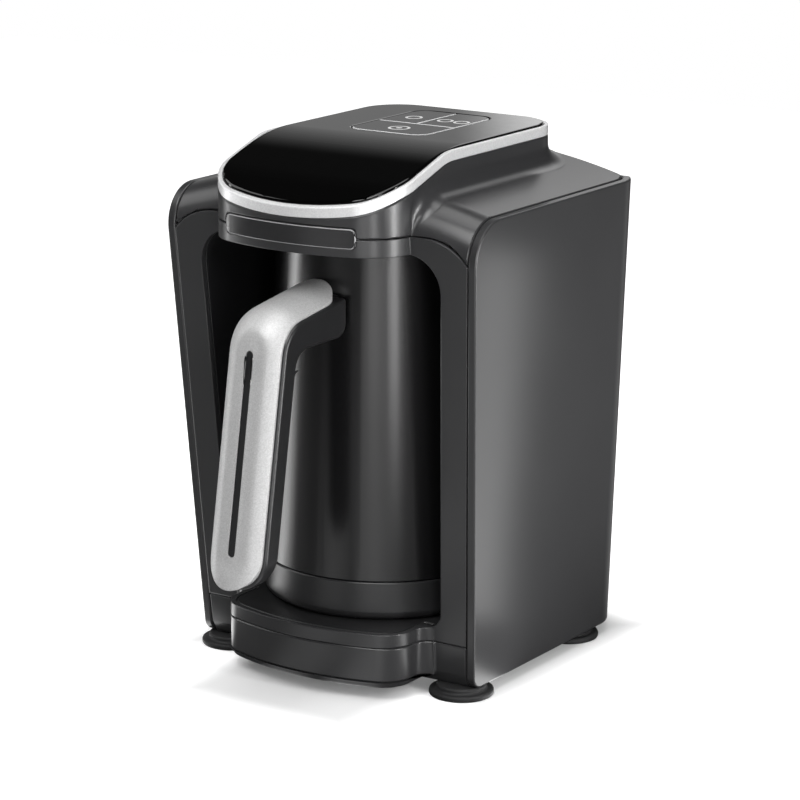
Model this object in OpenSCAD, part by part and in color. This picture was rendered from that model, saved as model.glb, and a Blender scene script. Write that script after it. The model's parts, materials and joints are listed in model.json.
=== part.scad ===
// Electric Turkish coffee maker: housing with a pot bay, three keys and a lift-out pot.
// Origin: middle of the footprint on the table. +X right, +Y to the rear, +Z up.

/* [Housing] */
// Width of the housing on each side of the bay at table level
cheek_w = 17.2; // [16:0.1:20]
// Lean of each side panel away from upright, in degrees
side_lean = 2.3; // [1.5:0.1:2.8]
// Height of the side panels' top edge above the bay's ceiling
shoulder_h = 16; // [15:0.5:18]
// Depth of the space for the electrics between the bay and the rear wall
rear_room = 32; // [31:1:40]
// Distance from the pot's axis to the front face at table level
face_reach = 38; // [36:1:42]
// Forward lean of the front face, in degrees
face_lean = 3.8; // [2.5:0.1:4.5]
// Thickness of the side panels' visible rim
rim_t = 4; // [3.5:0.1:4.5]
// Wall thickness of the moulded shells
wall = 2.5; // [2:0.1:3]
// Width of the parting line between two shells
seam = 0.3; // [0.2:0.05:0.4]

/* [Head] */
// Width of the raised head
head_w = 97; // [92:1:102]
// Rise of the silver band's upper edge above the side panels' top edge
head_rise = 23.6; // [23:0.2:26]
// Distance from the pot's axis to the head's foremost point
head_reach = 75; // [73:1:80]
// Distance from the pot's axis to the head's rear
head_back = 73; // [70:1:75]
// Height of the silver band
band_h = 4.6; // [4:0.1:5.5]
// Half length of the bare front plate
plate_half = 33.5; // [28:0.5:36]

/* [Bay] */
// Clearance between the pot's base and the bay's side walls
side_gap = 1.3; // [1:0.1:3]
// Clearance between the pot's base and the bay's rear wall
rear_gap = 4; // [4:0.5:6]
// Clearance between the pot's rim and the bay's ceiling
headroom = 3.2; // [2.2:0.1:4.2]
// Height of the platform that the pot stands on
platform_z = 30; // [29:0.5:31]
// Distance from the pot's axis to the plinth's foremost point
plinth_reach = 68; // [64:1:72]
// Width of the plinth's forward bulge
plinth_w = 94; // [90:1:100]
// Height of the feet
foot_h = 5; // [4:0.5:6]

/* [Pot] */
// Radius of the pot at its base
pot_base_r = 54; // [50:0.5:54]
// Radius of the pot at its rim
pot_top_r = 47; // [44:0.5:48]
// Height of the pot
pot_h = 162.5; // [150:0.5:175]
// Height of the pot's base ring
ring_h = 17.2; // [15:0.2:20]
// Distance from the pot's axis to the handle's foremost point
handle_reach = 118; // [114:1:122]
// Width of the handle
handle_w = 29; // [26:1:30]

/* [Keys] */
// Width of the field that the three keys fill
key_field_w = 41; // [36:1:44]
// Depth of the field that the three keys fill
key_field_d = 60; // [52:1:62]
// Travel of each key
key_travel = 1; // [0.5:0.1:1.2]
// Gap around each key
key_gap = 0.4; // [0.3:0.05:0.5]

/* [Hidden] */
$fn = 96;

eps = 0.01;
far = 400;

// Heights that follow from the pot, which stands a hair above the platform to slide freely
pot_z = platform_z + 0.3;
bay_top = pot_z + pot_h + headroom;
body_h = bay_top + shoulder_h;
head_h = body_h + head_rise;

// Widths and depths that follow from the pot: the bay, the housing and its rear wall
bay_w = 2 * (pot_base_r + side_gap);
body_w = bay_w + 2 * cheek_w;
back_reach = pot_base_r + rear_gap + rear_room;

// The pot's axis, so that the footprint's middle is the origin
pot_y = (handle_reach - back_reach) / 2;
back_y = pot_y + back_reach;
side_slope = tan(side_lean);
face_slope = tan(face_lean);

// Side profile of the housing
top_front_r = 18;
bottom_front_r = 6;
top_rear_r = 8;
rear_corner_r = 20;

// Crowned top: one large arc from side to side
crown_h = 11;
crown_half = half_w(body_h) - rim_t;
crown_r = (pow(crown_half, 2) + pow(crown_h, 2)) / (2 * crown_h);
crown_axis_z = body_h + crown_h - crown_r;

// Head outline and its top edge, which bends down towards the front
head_front_y = pot_y - head_reach;
head_back_y = pot_y + head_back;
head_front_r = 115;
head_corner_r = 24;
head_back_r = 21;
bend = [pot_y - 23, head_h];
bend_r = 30;
knee = [pot_y - 58.5, head_h - 11.6];
knee_r = 60;
nose = [pot_y - 85.5, head_h - 25.6];

// Level well below the head that its solids start from, and how far they reach up
head_root_z = bay_top - 46;
head_block_h = head_h - head_root_z + 15;

// Parting line between the top shell and the face frame
part_z = bay_top + 7.8;
part_x = 55;
part_r = 27.4;

// Plinth
plinth_part_z = 24.2;
plinth_corner_r = 15;
plinth_fillet_r = 6;
plinth_soft = 3.5;
floor_z = foot_h + wall;

// Bay
bay_corner_r = 16;
bay_foot_r = 7.5;
bay_back_r = pot_base_r + 10;
bay_back_y = pot_y + pot_base_r + rear_gap;
liner_t = 1.8;

// Pot
pot_wall = 2.4;
vessel_gap = 0.2;
vessel_t = 0.8;

// Connector between the housing and the pot
plug_z = pot_z + 7;
pin_r = 1.5;
pin_pitch = 7;
pin_fit = 0.3;

// Boards
control_z = head_h - 17.6;
control_w = 76;
board_t = 1.6;
switch_h = 3.5;
switch_w = 6;

function half_w(z) = body_w / 2 + side_slope * z;
function face_y(z) = pot_y - face_reach - face_slope * z;
function bay_half(z) = bay_w / 2 + side_slope * z;
function pot_r(h) = pot_base_r + (pot_top_r - pot_base_r) * h / pot_h;

// ---- Helpers ----

function unit(v) = v / norm(v);

// A convex polygon with true arcs: each corner is [x, y, radius], listed around the shape.
function tangent(p, q, r, other) =
    let (u = unit(q - p), v = unit(other - p), half = acos(u * v) / 2)
    p + u * r / tan(half);
function arc_centre(p, q, r, other) =
    let (u = unit(q - p), v = unit(other - p), half = acos(u * v) / 2)
    p + unit(u + v) * r / sin(half);

module rounded_polygon(corners) {
    n = len(corners);
    function at(i) = [corners[i][0], corners[i][1]];
    polygon([
        for (i = [0 : n - 1])
            let (before = at((i + n - 1) % n), after = at((i + 1) % n), r = corners[i][2])
            each r == 0
                ? [at(i)]
                : [tangent(at(i), before, r, after), tangent(at(i), after, r, before)]
    ]);
    for (i = [0 : n - 1])
        if (corners[i][2] > 0)
            translate(arc_centre(at(i), at((i + n - 1) % n), corners[i][2], at((i + 1) % n)))
                circle(corners[i][2]);
}

module rounded_rectangle(w, d, r) {
    rounded_polygon([[-w / 2, -d / 2, r], [w / 2, -d / 2, r], [w / 2, d / 2, r], [-w / 2, d / 2, r]]);
}

// Extrudes a profile drawn in Y and Z across the full width, or between two X values.
module across(x0 = -100, x1 = 100) {
    translate([x0, 0, 0])
        rotate([90, 0, 90])
            linear_extrude(x1 - x0)
                children();
}

// Extrudes a profile drawn in X and Z along Y between two Y values.
module along(y0 = -180, y1 = 180) {
    translate([0, y1, 0])
        rotate([90, 0, 0])
            linear_extrude(y1 - y0)
                children();
}

module both_sides() {
    children();
    mirror([1, 0, 0]) children();
}

// ---- Shared outlines ----

// Right half of the housing's plan at table level, inset from the outer skin.
module plan_half(inset) {
    r = rear_corner_r - inset;
    edge = body_w / 2 - inset;
    back = back_y - inset;
    translate([-60, -far]) square([edge + 60, back - r + far]);
    translate([-60, -far]) square([edge - r + 60, back + far]);
    translate([edge - r, back - r]) circle(r);
}

// One side's leaning prism; it holds everything inside that side's skin.
module leaning_half(inset) {
    intersection() {
        rotate([0, side_lean, 0])
            translate([0, 0, -20])
                linear_extrude(300)
                    plan_half(inset);
        translate([0, -far, -20]) cube([far, 2 * far, 300]);
    }
}

module inside_skin(inset) {
    both_sides() leaning_half(inset);
}

// Side profile of the housing, inset from its outer surface.
module side_profile(inset) {
    low = foot_h + inset;
    high = body_h - inset;
    back = back_y - inset;
    rounded_polygon([
        [face_y(low) + inset, low, bottom_front_r],
        [back, low, 3],
        [back, high, top_rear_r - min(inset, 4)],
        [face_y(high) + inset, high, top_front_r - inset]
    ]);
}

// Crowned block that gives the top shell its outer surface: the side profile turned about a
// low axis along Y.
module crown_block(inset) {
    top = crown_r - inset;
    low = crown_r - 60;
    front = face_y(body_h) + inset;
    back = back_y - rim_t - seam - inset;
    translate([0, 0, crown_axis_z])
        rotate([-90, 0, 0])
            rotate_extrude()
                rounded_polygon([
                    [low, front + face_slope * (top - low), 0],
                    [top, front, top_front_r - inset],
                    [top, back, top_rear_r],
                    [low, back, 0]
                ]);
}

// A plan with a shallow curved front, rounded front corners and a straight or rounded rear.
module bulge_plan(w, front, back, r_front, r_corner, r_back, inset) {
    big = r_front - inset;
    r = r_corner - inset;
    edge = w / 2 - inset;
    centre_y = front + r_front;
    cx = edge - r;
    cy = centre_y - sqrt(pow(big - r, 2) - cx * cx);
    touch = cx * big / (big - r);
    intersection() {
        translate([0, centre_y]) circle(big, $fn = 180);
        translate([-touch, front - 10]) square([2 * touch, cy - front + 20]);
    }
    for (side = [-1, 1]) translate([side * cx, cy]) circle(r);
    if (r_back > 0) {
        rb = r_back - inset;
        translate([-edge, cy]) square([2 * edge, -cy]);
        translate([-edge, 0]) square([2 * edge, back - inset - rb]);
        translate([-edge + rb, 0]) square([2 * (edge - rb), back - inset]);
        for (side = [-1, 1]) translate([side * (edge - rb), back - inset - rb]) circle(rb);
    } else {
        translate([-edge, cy]) square([2 * edge, back - cy]);
    }
}

module head_plan(inset) {
    bulge_plan(head_w, head_front_y, head_back_y, head_front_r, head_corner_r, head_back_r, inset);
}

// Side profile below the head's top edge, lowered by drop.
module head_profile(drop) {
    translate([0, -drop])
        rounded_polygon([
            [nose[0], 0, 0],
            [back_y + 26, 0, 0],
            [back_y + 26, head_h, 0],
            [bend[0], bend[1], bend_r],
            [knee[0], knee[1], knee_r],
            [nose[0], nose[1], 0]
        ]);
}

module head_solid(inset, drop) {
    intersection() {
        translate([0, 0, head_root_z]) linear_extrude(head_block_h) head_plan(inset);
        across(-60, 60) head_profile(drop);
    }
}

module plinth_round(inset) {
    bulge_plan(
        plinth_w, pot_y - plinth_reach, face_y(platform_z) + 20, head_front_r, plinth_corner_r, 0, inset
    );
}

module plinth_fillets() {
    for (side = [-1, 1])
        translate([side * plinth_w / 2, face_y(platform_z)])
            mirror([side < 0 ? 1 : 0, 0])
                difference() {
                    translate([-1, -plinth_fillet_r]) square([plinth_fillet_r + 1, plinth_fillet_r + 3]);
                    translate([plinth_fillet_r, -plinth_fillet_r]) circle(plinth_fillet_r);
                }
}

module plinth_plan(inset) {
    plinth_round(inset);
    if (inset == 0) plinth_fillets();
}

// Everything below the upper parting line, drawn in X and Z.
module below_parting(gap = 0) {
    r = part_r - gap;
    translate([-part_x, -20]) square([2 * part_x, part_z - gap + 20]);
    for (side = [-1, 1]) translate([side * part_x, part_z - part_r]) circle(r);
    translate([-part_x - r, -20]) square([2 * (part_x + r), part_z - part_r + 20]);
}

// The bay's opening in X and Z, grown outwards by grow.
module bay_opening(grow, low = platform_z) {
    rounded_polygon([
        [-bay_half(low) - grow, low - grow, bay_foot_r],
        [bay_half(low) + grow, low - grow, bay_foot_r],
        [bay_half(bay_top) + grow, bay_top + grow, bay_corner_r + grow],
        [-bay_half(bay_top) - grow, bay_top + grow, bay_corner_r + grow]
    ]);
}

module bay_plan(grow) {
    centre_y = bay_back_y - bay_back_r;
    translate([-90, -160]) square([180, 160 + centre_y]);
    translate([0, centre_y]) circle(bay_back_r + grow);
}

module bay_space(grow) {
    intersection() {
        along() bay_opening(grow);
        translate([0, 0, -5]) linear_extrude(260) bay_plan(grow);
    }
}

// ---- Housing shells ----

module side_panel() {
    difference() {
        intersection() {
            leaning_half(0);
            across(-1, 100) side_profile(0);
        }
        leaning_half(rim_t);
        translate([-1, back_y - 30, -1]) cube([rear_seam_x + 1, 60, far]);
        // Pocket that leaves a thinner wall inside the rim
        intersection() {
            leaning_half(wall);
            across(-1, 100) side_pocket();
        }
    }
}

rear_seam_x = 50;
pocket_edge = 9;

module side_pocket() {
    rounded_polygon([
        [face_y(foot_h) + pocket_edge, foot_h + pocket_edge, 5],
        [back_y - rear_corner_r, foot_h + pocket_edge, 5],
        [back_y - rear_corner_r, body_h - pocket_edge - 10, 5],
        [face_y(body_h) + pocket_edge, body_h - pocket_edge - 10, 12]
    ]);
}

module side_panel_right() {
    color("#4a4a4c") side_panel();
}

module side_panel_left() {
    color("#4a4a4c") mirror([1, 0, 0]) side_panel();
}

module rear_cover() {
    edge = rear_seam_x - seam;
    color("#454547")
        difference() {
            intersection() {
                translate([-edge, back_y - rim_t, 0]) cube([2 * edge, rim_t, far]);
                across(-edge, edge) side_profile(0);
            }
            // Row of vents low on the cover
            for (i = [-4 : 4])
                translate([i * 7, back_y, 46])
                    along(-rim_t - 1, 1) slot(2.4, 24);
            translate([0, back_y + 1, gland_z])
                rotate([90, 0, 0]) {
                    cylinder(r = gland_r, h = rim_t + 2);
                    cylinder(r = gland_flange_r + 0.1, h = 2.5);
                }
            for (p = rear_screws)
                translate([p[0], back_y + 1, p[1]])
                    rotate([90, 0, 0]) {
                        cylinder(r = screw_r + screw_fit, h = rim_t + 2);
                        cylinder(r = screw_head_r + screw_fit, h = 3.6);
                    }
        }
}

gland_z = 20;
gland_r = 6;
gland_flange_r = 8;
cord_r = 3.6;
screw_r = 1.5;
screw_head_r = 3;
screw_fit = 0.3;
rear_screws = [for (x = [-1, 1], z = [14, bay_top + 1]) [x * 42, z]];

// Upright slot with round ends, centred on the origin, drawn in X and Z.
module slot(w, h) {
    translate([-w / 2, -h / 2 + w / 2]) square([w, h - w]);
    for (end = [-1, 1]) translate([0, end * (h - w) / 2]) circle(w / 2);
}

module top_shell_outer(inset) {
    intersection() {
        crown_block(inset);
        inside_skin(rim_t + seam + inset);
        translate([-100, -100, part_z - part_r - 5]) cube([200, 240, 100]);
    }
    head_solid(inset, band_h + inset);
}

module top_shell() {
    color("#4a4a4c")
        difference() {
            top_shell_outer(0);
            top_shell_outer(shell_t);
            along() below_parting();
            // Window under the top panel
            translate([0, 0, head_root_z + 30]) linear_extrude(head_block_h) head_plan(deck_inset);
            front_plate_space(0.1);
        }
    // Tabs that take the rear cover's upper screws
    color("#4a4a4c")
        for (p = rear_screws)
            if (p[1] > platform_z)
                translate([p[0] - 4, back_y - rim_t - seam - 7, p[1] - 5]) cube([8, 7, 14]);
}

shell_t = 2.2;
deck_inset = 6;
deck_z = head_h - band_h - shell_t;
carrier_screw_x = 33;
carrier_screw_y = [pot_y + 2, pot_y + 60];

module face_frame() {
    color("#454547")
        difference() {
            union() {
                // Cheeks and the strip above the bay
                intersection() {
                    across()
                        polygon([
                            [face_y(plinth_part_z), plinth_part_z],
                            [face_y(plinth_part_z) + 3, plinth_part_z],
                            [face_y(part_z) + 3, part_z],
                            [face_y(part_z), part_z]
                        ]);
                    inside_skin(rim_t + seam);
                    along() below_parting(seam);
                }
                // Lower part of the head, a tray with a closed underside
                difference() {
                    translate([0, 0, bay_top])
                        linear_extrude(part_z - seam - bay_top)
                            head_front_plan(0);
                    translate([0, 0, bay_top + wall]) linear_extrude(20) head_front_plan(wall);
                }
                // Raised edge of the platform
                translate([0, 0, plinth_part_z])
                    linear_extrude(platform_z - plinth_part_z)
                        difference() {
                            intersection() {
                                plinth_plan(0);
                                translate([-90, -far]) square([180, far + face_y(0) + 2]);
                            }
                            plinth_plan(wall);
                        }
            }
            intersection() {
                along(-far, face_y(0) + 30) bay_opening(0);
                translate([-far, face_y(bay_top) - 1, 0]) cube(far * 2);
            }
            linear_extrude(platform_z + 1) plinth_plan(wall);
            front_plate_space(0.1);
        }
}

// The head's plan in front of the face's rear surface.
module head_front_plan(inset) {
    intersection() {
        head_plan(inset);
        translate([-far, -far]) square([2 * far, far + face_y(part_z) + 3]);
    }
}

module base_tub() {
    color("#454547")
        difference() {
            union() {
                intersection() {
                    across() side_profile_low();
                    inside_skin(rim_t + seam);
                }
                plinth_bulge();
            }
            intersection() {
                translate([-far, face_y(0) + wall, floor_z]) cube(far * 2);
                inside_skin(rim_t + wall);
                translate([-far, -far, 0]) cube([2 * far, far + back_y - rim_t - wall, far]);
            }
            translate([0, 0, floor_z]) linear_extrude(far) plinth_clip() plinth_plan(wall);
            translate([0, 0, -1]) for (p = foot_places) translate(p) cylinder(r = foot_pin_r, h = 20);
            translate([0, back_y, gland_z]) rotate([90, 0, 0]) cylinder(r = gland_flange_r, h = 12);
        }
    // Bosses that carry the platform
    color("#454547")
        for (p = platform_posts)
            translate([p[0], p[1], floor_z - eps])
                difference() {
                    cylinder(r = 4, h = platform_z - 3 - floor_z + eps);
                    cylinder(r = 1.2, h = far);
                }
}

platform_posts = [[-34, pot_y - 52], [34, pot_y - 52], [-34, pot_y + 30], [34, pot_y + 30]];
foot_r = 14.2;
foot_pin_r = 1.7;
foot_places = [for (x = [-1, 1]) each [[x * 61.9, pot_y - 31.5, 0], [x * 60, pot_y + 61, 0]]];

module side_profile_low() {
    top = plinth_part_z - seam;
    polygon([
        [face_y(foot_h + 6), foot_h + 6],
        [face_y(foot_h) + 3, foot_h],
        [back_y - rim_t - seam, foot_h],
        [back_y - rim_t - seam, top],
        [face_y(top), top]
    ]);
}

// The plinth's bulge, with its fillets to the face and a softened lower edge.
module plinth_bulge() {
    top = plinth_part_z - seam;
    soft_z = foot_h + plinth_soft;
    translate([0, 0, soft_z]) linear_extrude(top - soft_z) plinth_clip() plinth_plan(0);
    hull()
        for (step = [[1, 0], [0.3, 0.3], [0, 1]])
            translate([0, 0, foot_h + plinth_soft * step[0]])
                linear_extrude(0.1)
                    plinth_clip() plinth_round(0.05 + plinth_soft * step[1]);
}

module plinth_clip() {
    intersection() {
        children();
        translate([-90, -far]) square([180, far + face_y(0) + 8]);
    }
}

module platform() {
    color("#1f1f20")
        translate([0, 0, platform_z - 3])
            linear_extrude(3)
                intersection() {
                    union() {
                        plinth_plan(wall + 0.2);
                        translate([-bay_half(platform_z) + 5, face_y(0) + 3.5])
                            square([2 * bay_half(platform_z) - 10, far]);
                    }
                    bay_plan(-0.3);
                }
}

module bay_liner() {
    color("#161616")
        difference() {
            union() {
                intersection() {
                    bay_space(liner_t);
                    behind_frame();
                }
                // Flange on the rear wall that holds the connector
                translate([-20, bay_back_y - 2, platform_z + 0.5]) cube([40, liner_t + 5, 17]);
                // Bosses that carry the power board
                for (p = board_screws_at)
                    translate([p[0], board_y, p[1]])
                        rotate([90, 0, 0]) cylinder(r = 3.5, h = 32);
            }
            bay_space(0);
            translate([-150, -150, -1]) cube([300, 300, platform_z + 1]);
            translate([-15, bay_back_y - 10, plug_z - 5]) cube([30, 30, 10]);
            translate([0, sensor_y, bay_top - 1]) cylinder(r = sensor_r, h = 10);
            for (p = board_screws_at)
                translate([p[0], board_y + 1, p[1]])
                    rotate([90, 0, 0]) cylinder(r = screw_r, h = 8);
        }
}

// Space behind the face frame's rear surface.
module behind_frame() {
    across(-95, 95)
        polygon([
            [face_y(0) + 3, 0],
            [face_y(260) + 3, 260],
            [170, 260],
            [170, 0]
        ]);
}

sensor_y = pot_y - 10;
sensor_r = 7;

module trim_band() {
    color("#d6d6d8")
        difference() {
            head_solid(0, 0);
            head_solid(2, -5);
            across(-60, 60) head_profile(band_h);
        }
    // Ledge that carries the top panel
    color("#d6d6d8")
        difference() {
            head_solid(2 - eps, 2.2);
            head_solid(5, -5);
            across(-60, 60) head_profile(band_h);
        }
}

module key_field(inset) {
    translate([0, key_field_y])
        rounded_rectangle(key_field_w - 2 * inset, key_field_d - 2 * inset, key_field_r - inset);
}

key_field_y = pot_y + 29.5;
key_field_back_y = key_field_y + key_field_d / 2;
key_field_r = 8;
key_split_y = key_field_y - 4;
key_top = head_h + 0.8;

module top_panel() {
    color("#0c0c0d")
        difference() {
            head_solid(2.2, -0.8);
            across(-60, 60) head_profile(2.2);
            translate([0, 0, head_root_z + 50]) linear_extrude(head_block_h) key_field(0);
        }
}

module front_plate_space(grow) {
    intersection() {
        along(head_front_y - 10, head_front_y + 20)
            translate([0, part_z])
                rounded_rectangle(2 * plate_half + 2 * grow, 8.6 + 2 * grow, 2.6);
        translate([0, 0, 190])
            linear_extrude(30)
                difference() {
                    head_plan(-0.2);
                    head_plan(0.6 + grow);
                }
    }
}

module front_plate() {
    color("#2c2c2e") front_plate_space(0);
}

module key_cap(plan_w, x0, y0, y1) {
    // Cap
    translate([0, 0, key_top - key_cap_t])
        linear_extrude(key_cap_t)
            intersection() {
                key_field(key_gap);
                translate([x0, y0]) square([plan_w, y1 - y0]);
            }
    // Stem down to the switch
    translate([x0 + plan_w / 2, (y0 + y1) / 2, stem_z])
        cylinder(r = stem_r, h = key_top - 2 - stem_z);
}

module rear_key() {
    key_cap(rear_key_w, -key_field_w / 2, key_split_y + key_gap / 2, key_field_back_y);
}

module key_left() {
    color("#4b4b4d") rear_key();
}

module key_right() {
    color("#4b4b4d") mirror([1, 0, 0]) rear_key();
}

module key_front() {
    color("#4b4b4d") key_cap(
        key_field_w, -key_field_w / 2, key_field_y - key_field_d / 2, key_split_y - key_gap / 2
    );
}

key_cap_t = 2.4;
stem_r = 2.5;
stem_z = control_z + board_t + switch_h + 1 + key_travel + 0.2;
rear_key_w = (key_field_w - key_gap) / 2;
rear_key_y = (key_split_y + key_gap / 2 + key_field_back_y) / 2;
front_key_y = (key_split_y - key_gap / 2 + key_field_y - key_field_d / 2) / 2;
key_places = [
    [-key_field_w / 2 + rear_key_w / 2, rear_key_y],
    [key_field_w / 2 - rear_key_w / 2, rear_key_y],
    [0, front_key_y]
];

// Plate under the keys that guides their stems; it hangs from the head's deck.
module key_carrier() {
    color("#2a2a2b")
        difference() {
            union() {
                translate([0, 0, deck_z - 2])
                    linear_extrude(2)
                        intersection() {
                            head_plan(wall + 0.3);
                            translate([-60, pot_y - 8]) square([120, 78]);
                        }
                for (x = [-1, 1], y = carrier_screw_y)
                    translate([x * carrier_screw_x, y, control_z + board_t])
                        cylinder(r = 3, h = deck_z - 1 - control_z - board_t);
            }
            for (p = key_places) translate([p[0], p[1], deck_z - 5]) cylinder(r = stem_r + 0.3, h = 10);
            for (x = [-1, 1], y = carrier_screw_y)
                translate([x * carrier_screw_x, y, control_z]) cylinder(r = screw_r, h = 8);
        }
}

module control_board() {
    color("#1f5a34")
        difference() {
            translate([-control_w / 2, pot_y - 4, control_z]) cube([control_w, 70, board_t]);
            for (x = [-1, 1], y = carrier_screw_y)
                translate([x * carrier_screw_x, y, control_z - 1]) cylinder(r = 1.7, h = 5);
        }
}

module tact_switches() {
    color("#3a3a3c")
        for (p = key_places)
            translate([p[0], p[1], control_z + board_t]) {
                translate([-switch_w / 2, -switch_w / 2, 0]) cube([switch_w, switch_w, switch_h]);
                cylinder(r = 1.7, h = switch_h + 1);
            }
}

module boil_sensor() {
    color("#101012")
        difference() {
            translate([0, sensor_y, bay_top - 1.5]) {
                cylinder(r = sensor_r - 0.2, h = 8);
                translate([0, 0, 1.5 + liner_t]) cylinder(r = sensor_r + 2, h = 2);
            }
            translate([0, sensor_y, bay_top - 3]) cylinder(r = 3, h = 4);
        }
}

// ---- Electrics behind the bay ----

board_y = bay_back_y + liner_t + 12;
board_w = 88;
board_low_z = 78;
board_h = 96;

module power_board() {
    color("#1f5a34")
        difference() {
            translate([-board_w / 2, board_y, board_low_z]) cube([board_w, board_t, board_h]);
            for (p = board_screws_at)
                translate([p[0], board_y - 1, p[1]]) rotate([-90, 0, 0]) cylinder(r = 1.7, h = 5);
        }
}

board_screws_at = [
    for (x = [-1, 1], z = [board_low_z + 4, board_low_z + board_h - 4]) [x * (board_w / 2 - 4), z]
];

// Core of the transformer with its winding, which stands out at both ends
module transformer() {
    color("#6b5a34")
        translate([0, board_y - transformer_depth, board_low_z + 18]) {
            translate([-14, 0, 0]) cube([28, transformer_depth, 24]);
            translate([-18, 2, 5]) cube([36, 7, 14]);
        }
}

transformer_depth = 11;
relay_depth = 9;
capacitor_r = 5;
speaker_r = 6;

module relay() {
    color("#22507c")
        translate([18, board_y - relay_depth, board_low_z + 54]) cube([14, relay_depth, 20]);
}

module capacitors() {
    color("#222a55")
        for (rise = [56, 72])
            translate([-24, board_y, board_low_z + rise])
                rotate([90, 0, 0]) cylinder(r = capacitor_r, h = 10);
}

module speaker() {
    color("#1a1a1b")
        translate([0, board_y, board_low_z + 82])
            rotate([90, 0, 0])
                difference() {
                    cylinder(r = speaker_r, h = 7);
                    translate([0, 0, 5]) cylinder(r = 1, h = 3);
                }
}

module connector_housing() {
    color("#101012")
        difference() {
            union() {
                translate([-14.8, bay_back_y - 1.5, plug_z - 4.8]) cube([29.6, 12, 9.6]);
                translate([-18, bay_back_y + liner_t + 3, plug_z - 6.5]) cube([36, 4, 14]);
            }
            for (i = [-1 : 1])
                translate([i * pin_pitch, bay_back_y - 10, plug_z])
                    rotate([-90, 0, 0]) cylinder(r = pin_r, h = 30);
        }
}

module connector_pins() {
    color("#b8963e")
        for (i = [-1 : 1])
            translate([i * pin_pitch, pin_tip_y, plug_z])
                rotate([-90, 0, 0]) cylinder(r = pin_r, h = bay_back_y + 14 - pin_tip_y);
}

pin_tip_y = pot_y + pot_base_r - 7;

module cord_gland() {
    color("#151515")
        translate([0, back_y, gland_z])
            rotate([90, 0, 0])
                difference() {
                    union() {
                        cylinder(r = gland_flange_r, h = 1.5);
                        cylinder(r = gland_r - 0.05, h = rim_t);
                        translate([0, 0, rim_t]) cylinder(r = gland_r + 1.5, h = 2);
                    }
                    translate([0, 0, -1]) cylinder(r = cord_r, h = 20);
                }
}

module feet() {
    color("#2b2b2c")
        for (p = foot_places)
            translate(p)
                difference() {
                    union() {
                        cylinder(r = foot_r, h = 2.6);
                        cylinder(r = foot_r - 3.2, h = foot_h);
                        cylinder(r = foot_pin_r, h = foot_h + 4);
                    }
                    translate([0, 0, -1]) cylinder(r = 4, h = 2);
                }
}

module screw(length) {
    cylinder(r = screw_head_r, h = 2);
    translate([0, 0, 2 - eps]) cylinder(r = screw_r, h = length);
}

module housing_screws() {
    color("#9a9a9c")
        for (p = rear_screws)
            translate([p[0], back_y - 0.6, p[1]])
                rotate([90, 0, 0]) screw(8);
}

module board_screws() {
    color("#9a9a9c")
        for (p = board_screws_at)
            translate([p[0], board_y + board_t + 2, p[1]])
                rotate([90, 0, 0]) screw(8);
    color("#9a9a9c")
        for (x = [-1, 1], y = carrier_screw_y)
            translate([x * carrier_screw_x, y, control_z - 2]) screw(8);
}

// ---- Pot ----

vessel_low = ring_h - 3;
vessel_inset = pot_wall + vessel_gap;
rim_flange_t = 1;
base_round_r = 4;

// Leaning tube that forms the pouring spout on the pot's left.
module spout(r) {
    translate([-(pot_top_r - 9), 0, pot_h - 24])
        rotate([0, -20, 0])
            cylinder(r = r, h = 60);
}

module pot_jacket() {
    low = ring_h + seam;
    high = pot_h - rim_flange_t;
    color("#2c2c2d")
        translate([0, pot_y, pot_z])
            difference() {
                union() {
                    translate([0, 0, low]) cylinder(r1 = pot_r(low), r2 = pot_r(high), h = high - low);
                    intersection() {
                        spout(8);
                        translate([-80, -20, high - 30]) cube([60, 40, 30]);
                    }
                }
                translate([0, 0, low - 1])
                    cylinder(
                        r1 = pot_r(low - 1) - pot_wall,
                        r2 = pot_r(high + 1) - pot_wall,
                        h = high - low + 2
                    );
                spout(6.2);
                for (z = handle_screw_z)
                    translate([0, pot_wall - pot_r(z - pot_z), z - pot_z])
                        rotate([90, 0, 0]) {
                            cylinder(r = screw_r + 0.1, h = 10);
                            translate([0, 0, -1]) cylinder(r = screw_head_r + 0.1, h = 2.5);
                        }
            }
}

module pot_vessel() {
    color("#c9c9cb")
        translate([0, pot_y, pot_z])
            difference() {
                union() {
                    translate([0, 0, vessel_low])
                        cylinder(
                            r1 = pot_r(vessel_low) - vessel_inset,
                            r2 = pot_top_r - vessel_inset,
                            h = pot_h - vessel_low
                        );
                    translate([0, 0, pot_h - rim_flange_t])
                        cylinder(r = pot_top_r - 0.2, h = rim_flange_t);
                }
                translate([0, 0, vessel_low + 1.2])
                    cylinder(
                        r1 = pot_r(vessel_low) - vessel_inset - vessel_t,
                        r2 = pot_top_r - vessel_inset - vessel_t,
                        h = pot_h - vessel_low
                    );
                spout(6.2);
            }
}

module pot_base_ring() {
    color("#262627")
        translate([0, pot_y, pot_z])
            difference() {
                rotate_extrude()
                    difference() {
                        rounded_polygon([
                            [0, 0, 0],
                            [pot_base_r, 0, base_round_r],
                            [pot_r(ring_h), ring_h, 0],
                            [0, ring_h, 0]
                        ]);
                        translate([-1, 2]) square([pot_base_r - 4, ring_h]);
                        translate([-1, vessel_low]) square([pot_base_r - 2, ring_h]);
                    }
                translate([-15.2, pot_base_r - 18, plug_z - pot_z - 4.7]) cube([30.4, 30, 9.4]);
            }
}

module heater_plate() {
    color("#a6a6a8")
        translate([0, pot_y, pot_z + vessel_low - 1.8]) {
            cylinder(r = pot_base_r - 9, h = 1.8);
            translate([0, 0, -2.5])
                difference() {
                    cylinder(r = 34, h = 2.6);
                    translate([0, 0, -1]) cylinder(r = 28, h = 5);
                }
        }
}

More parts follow.
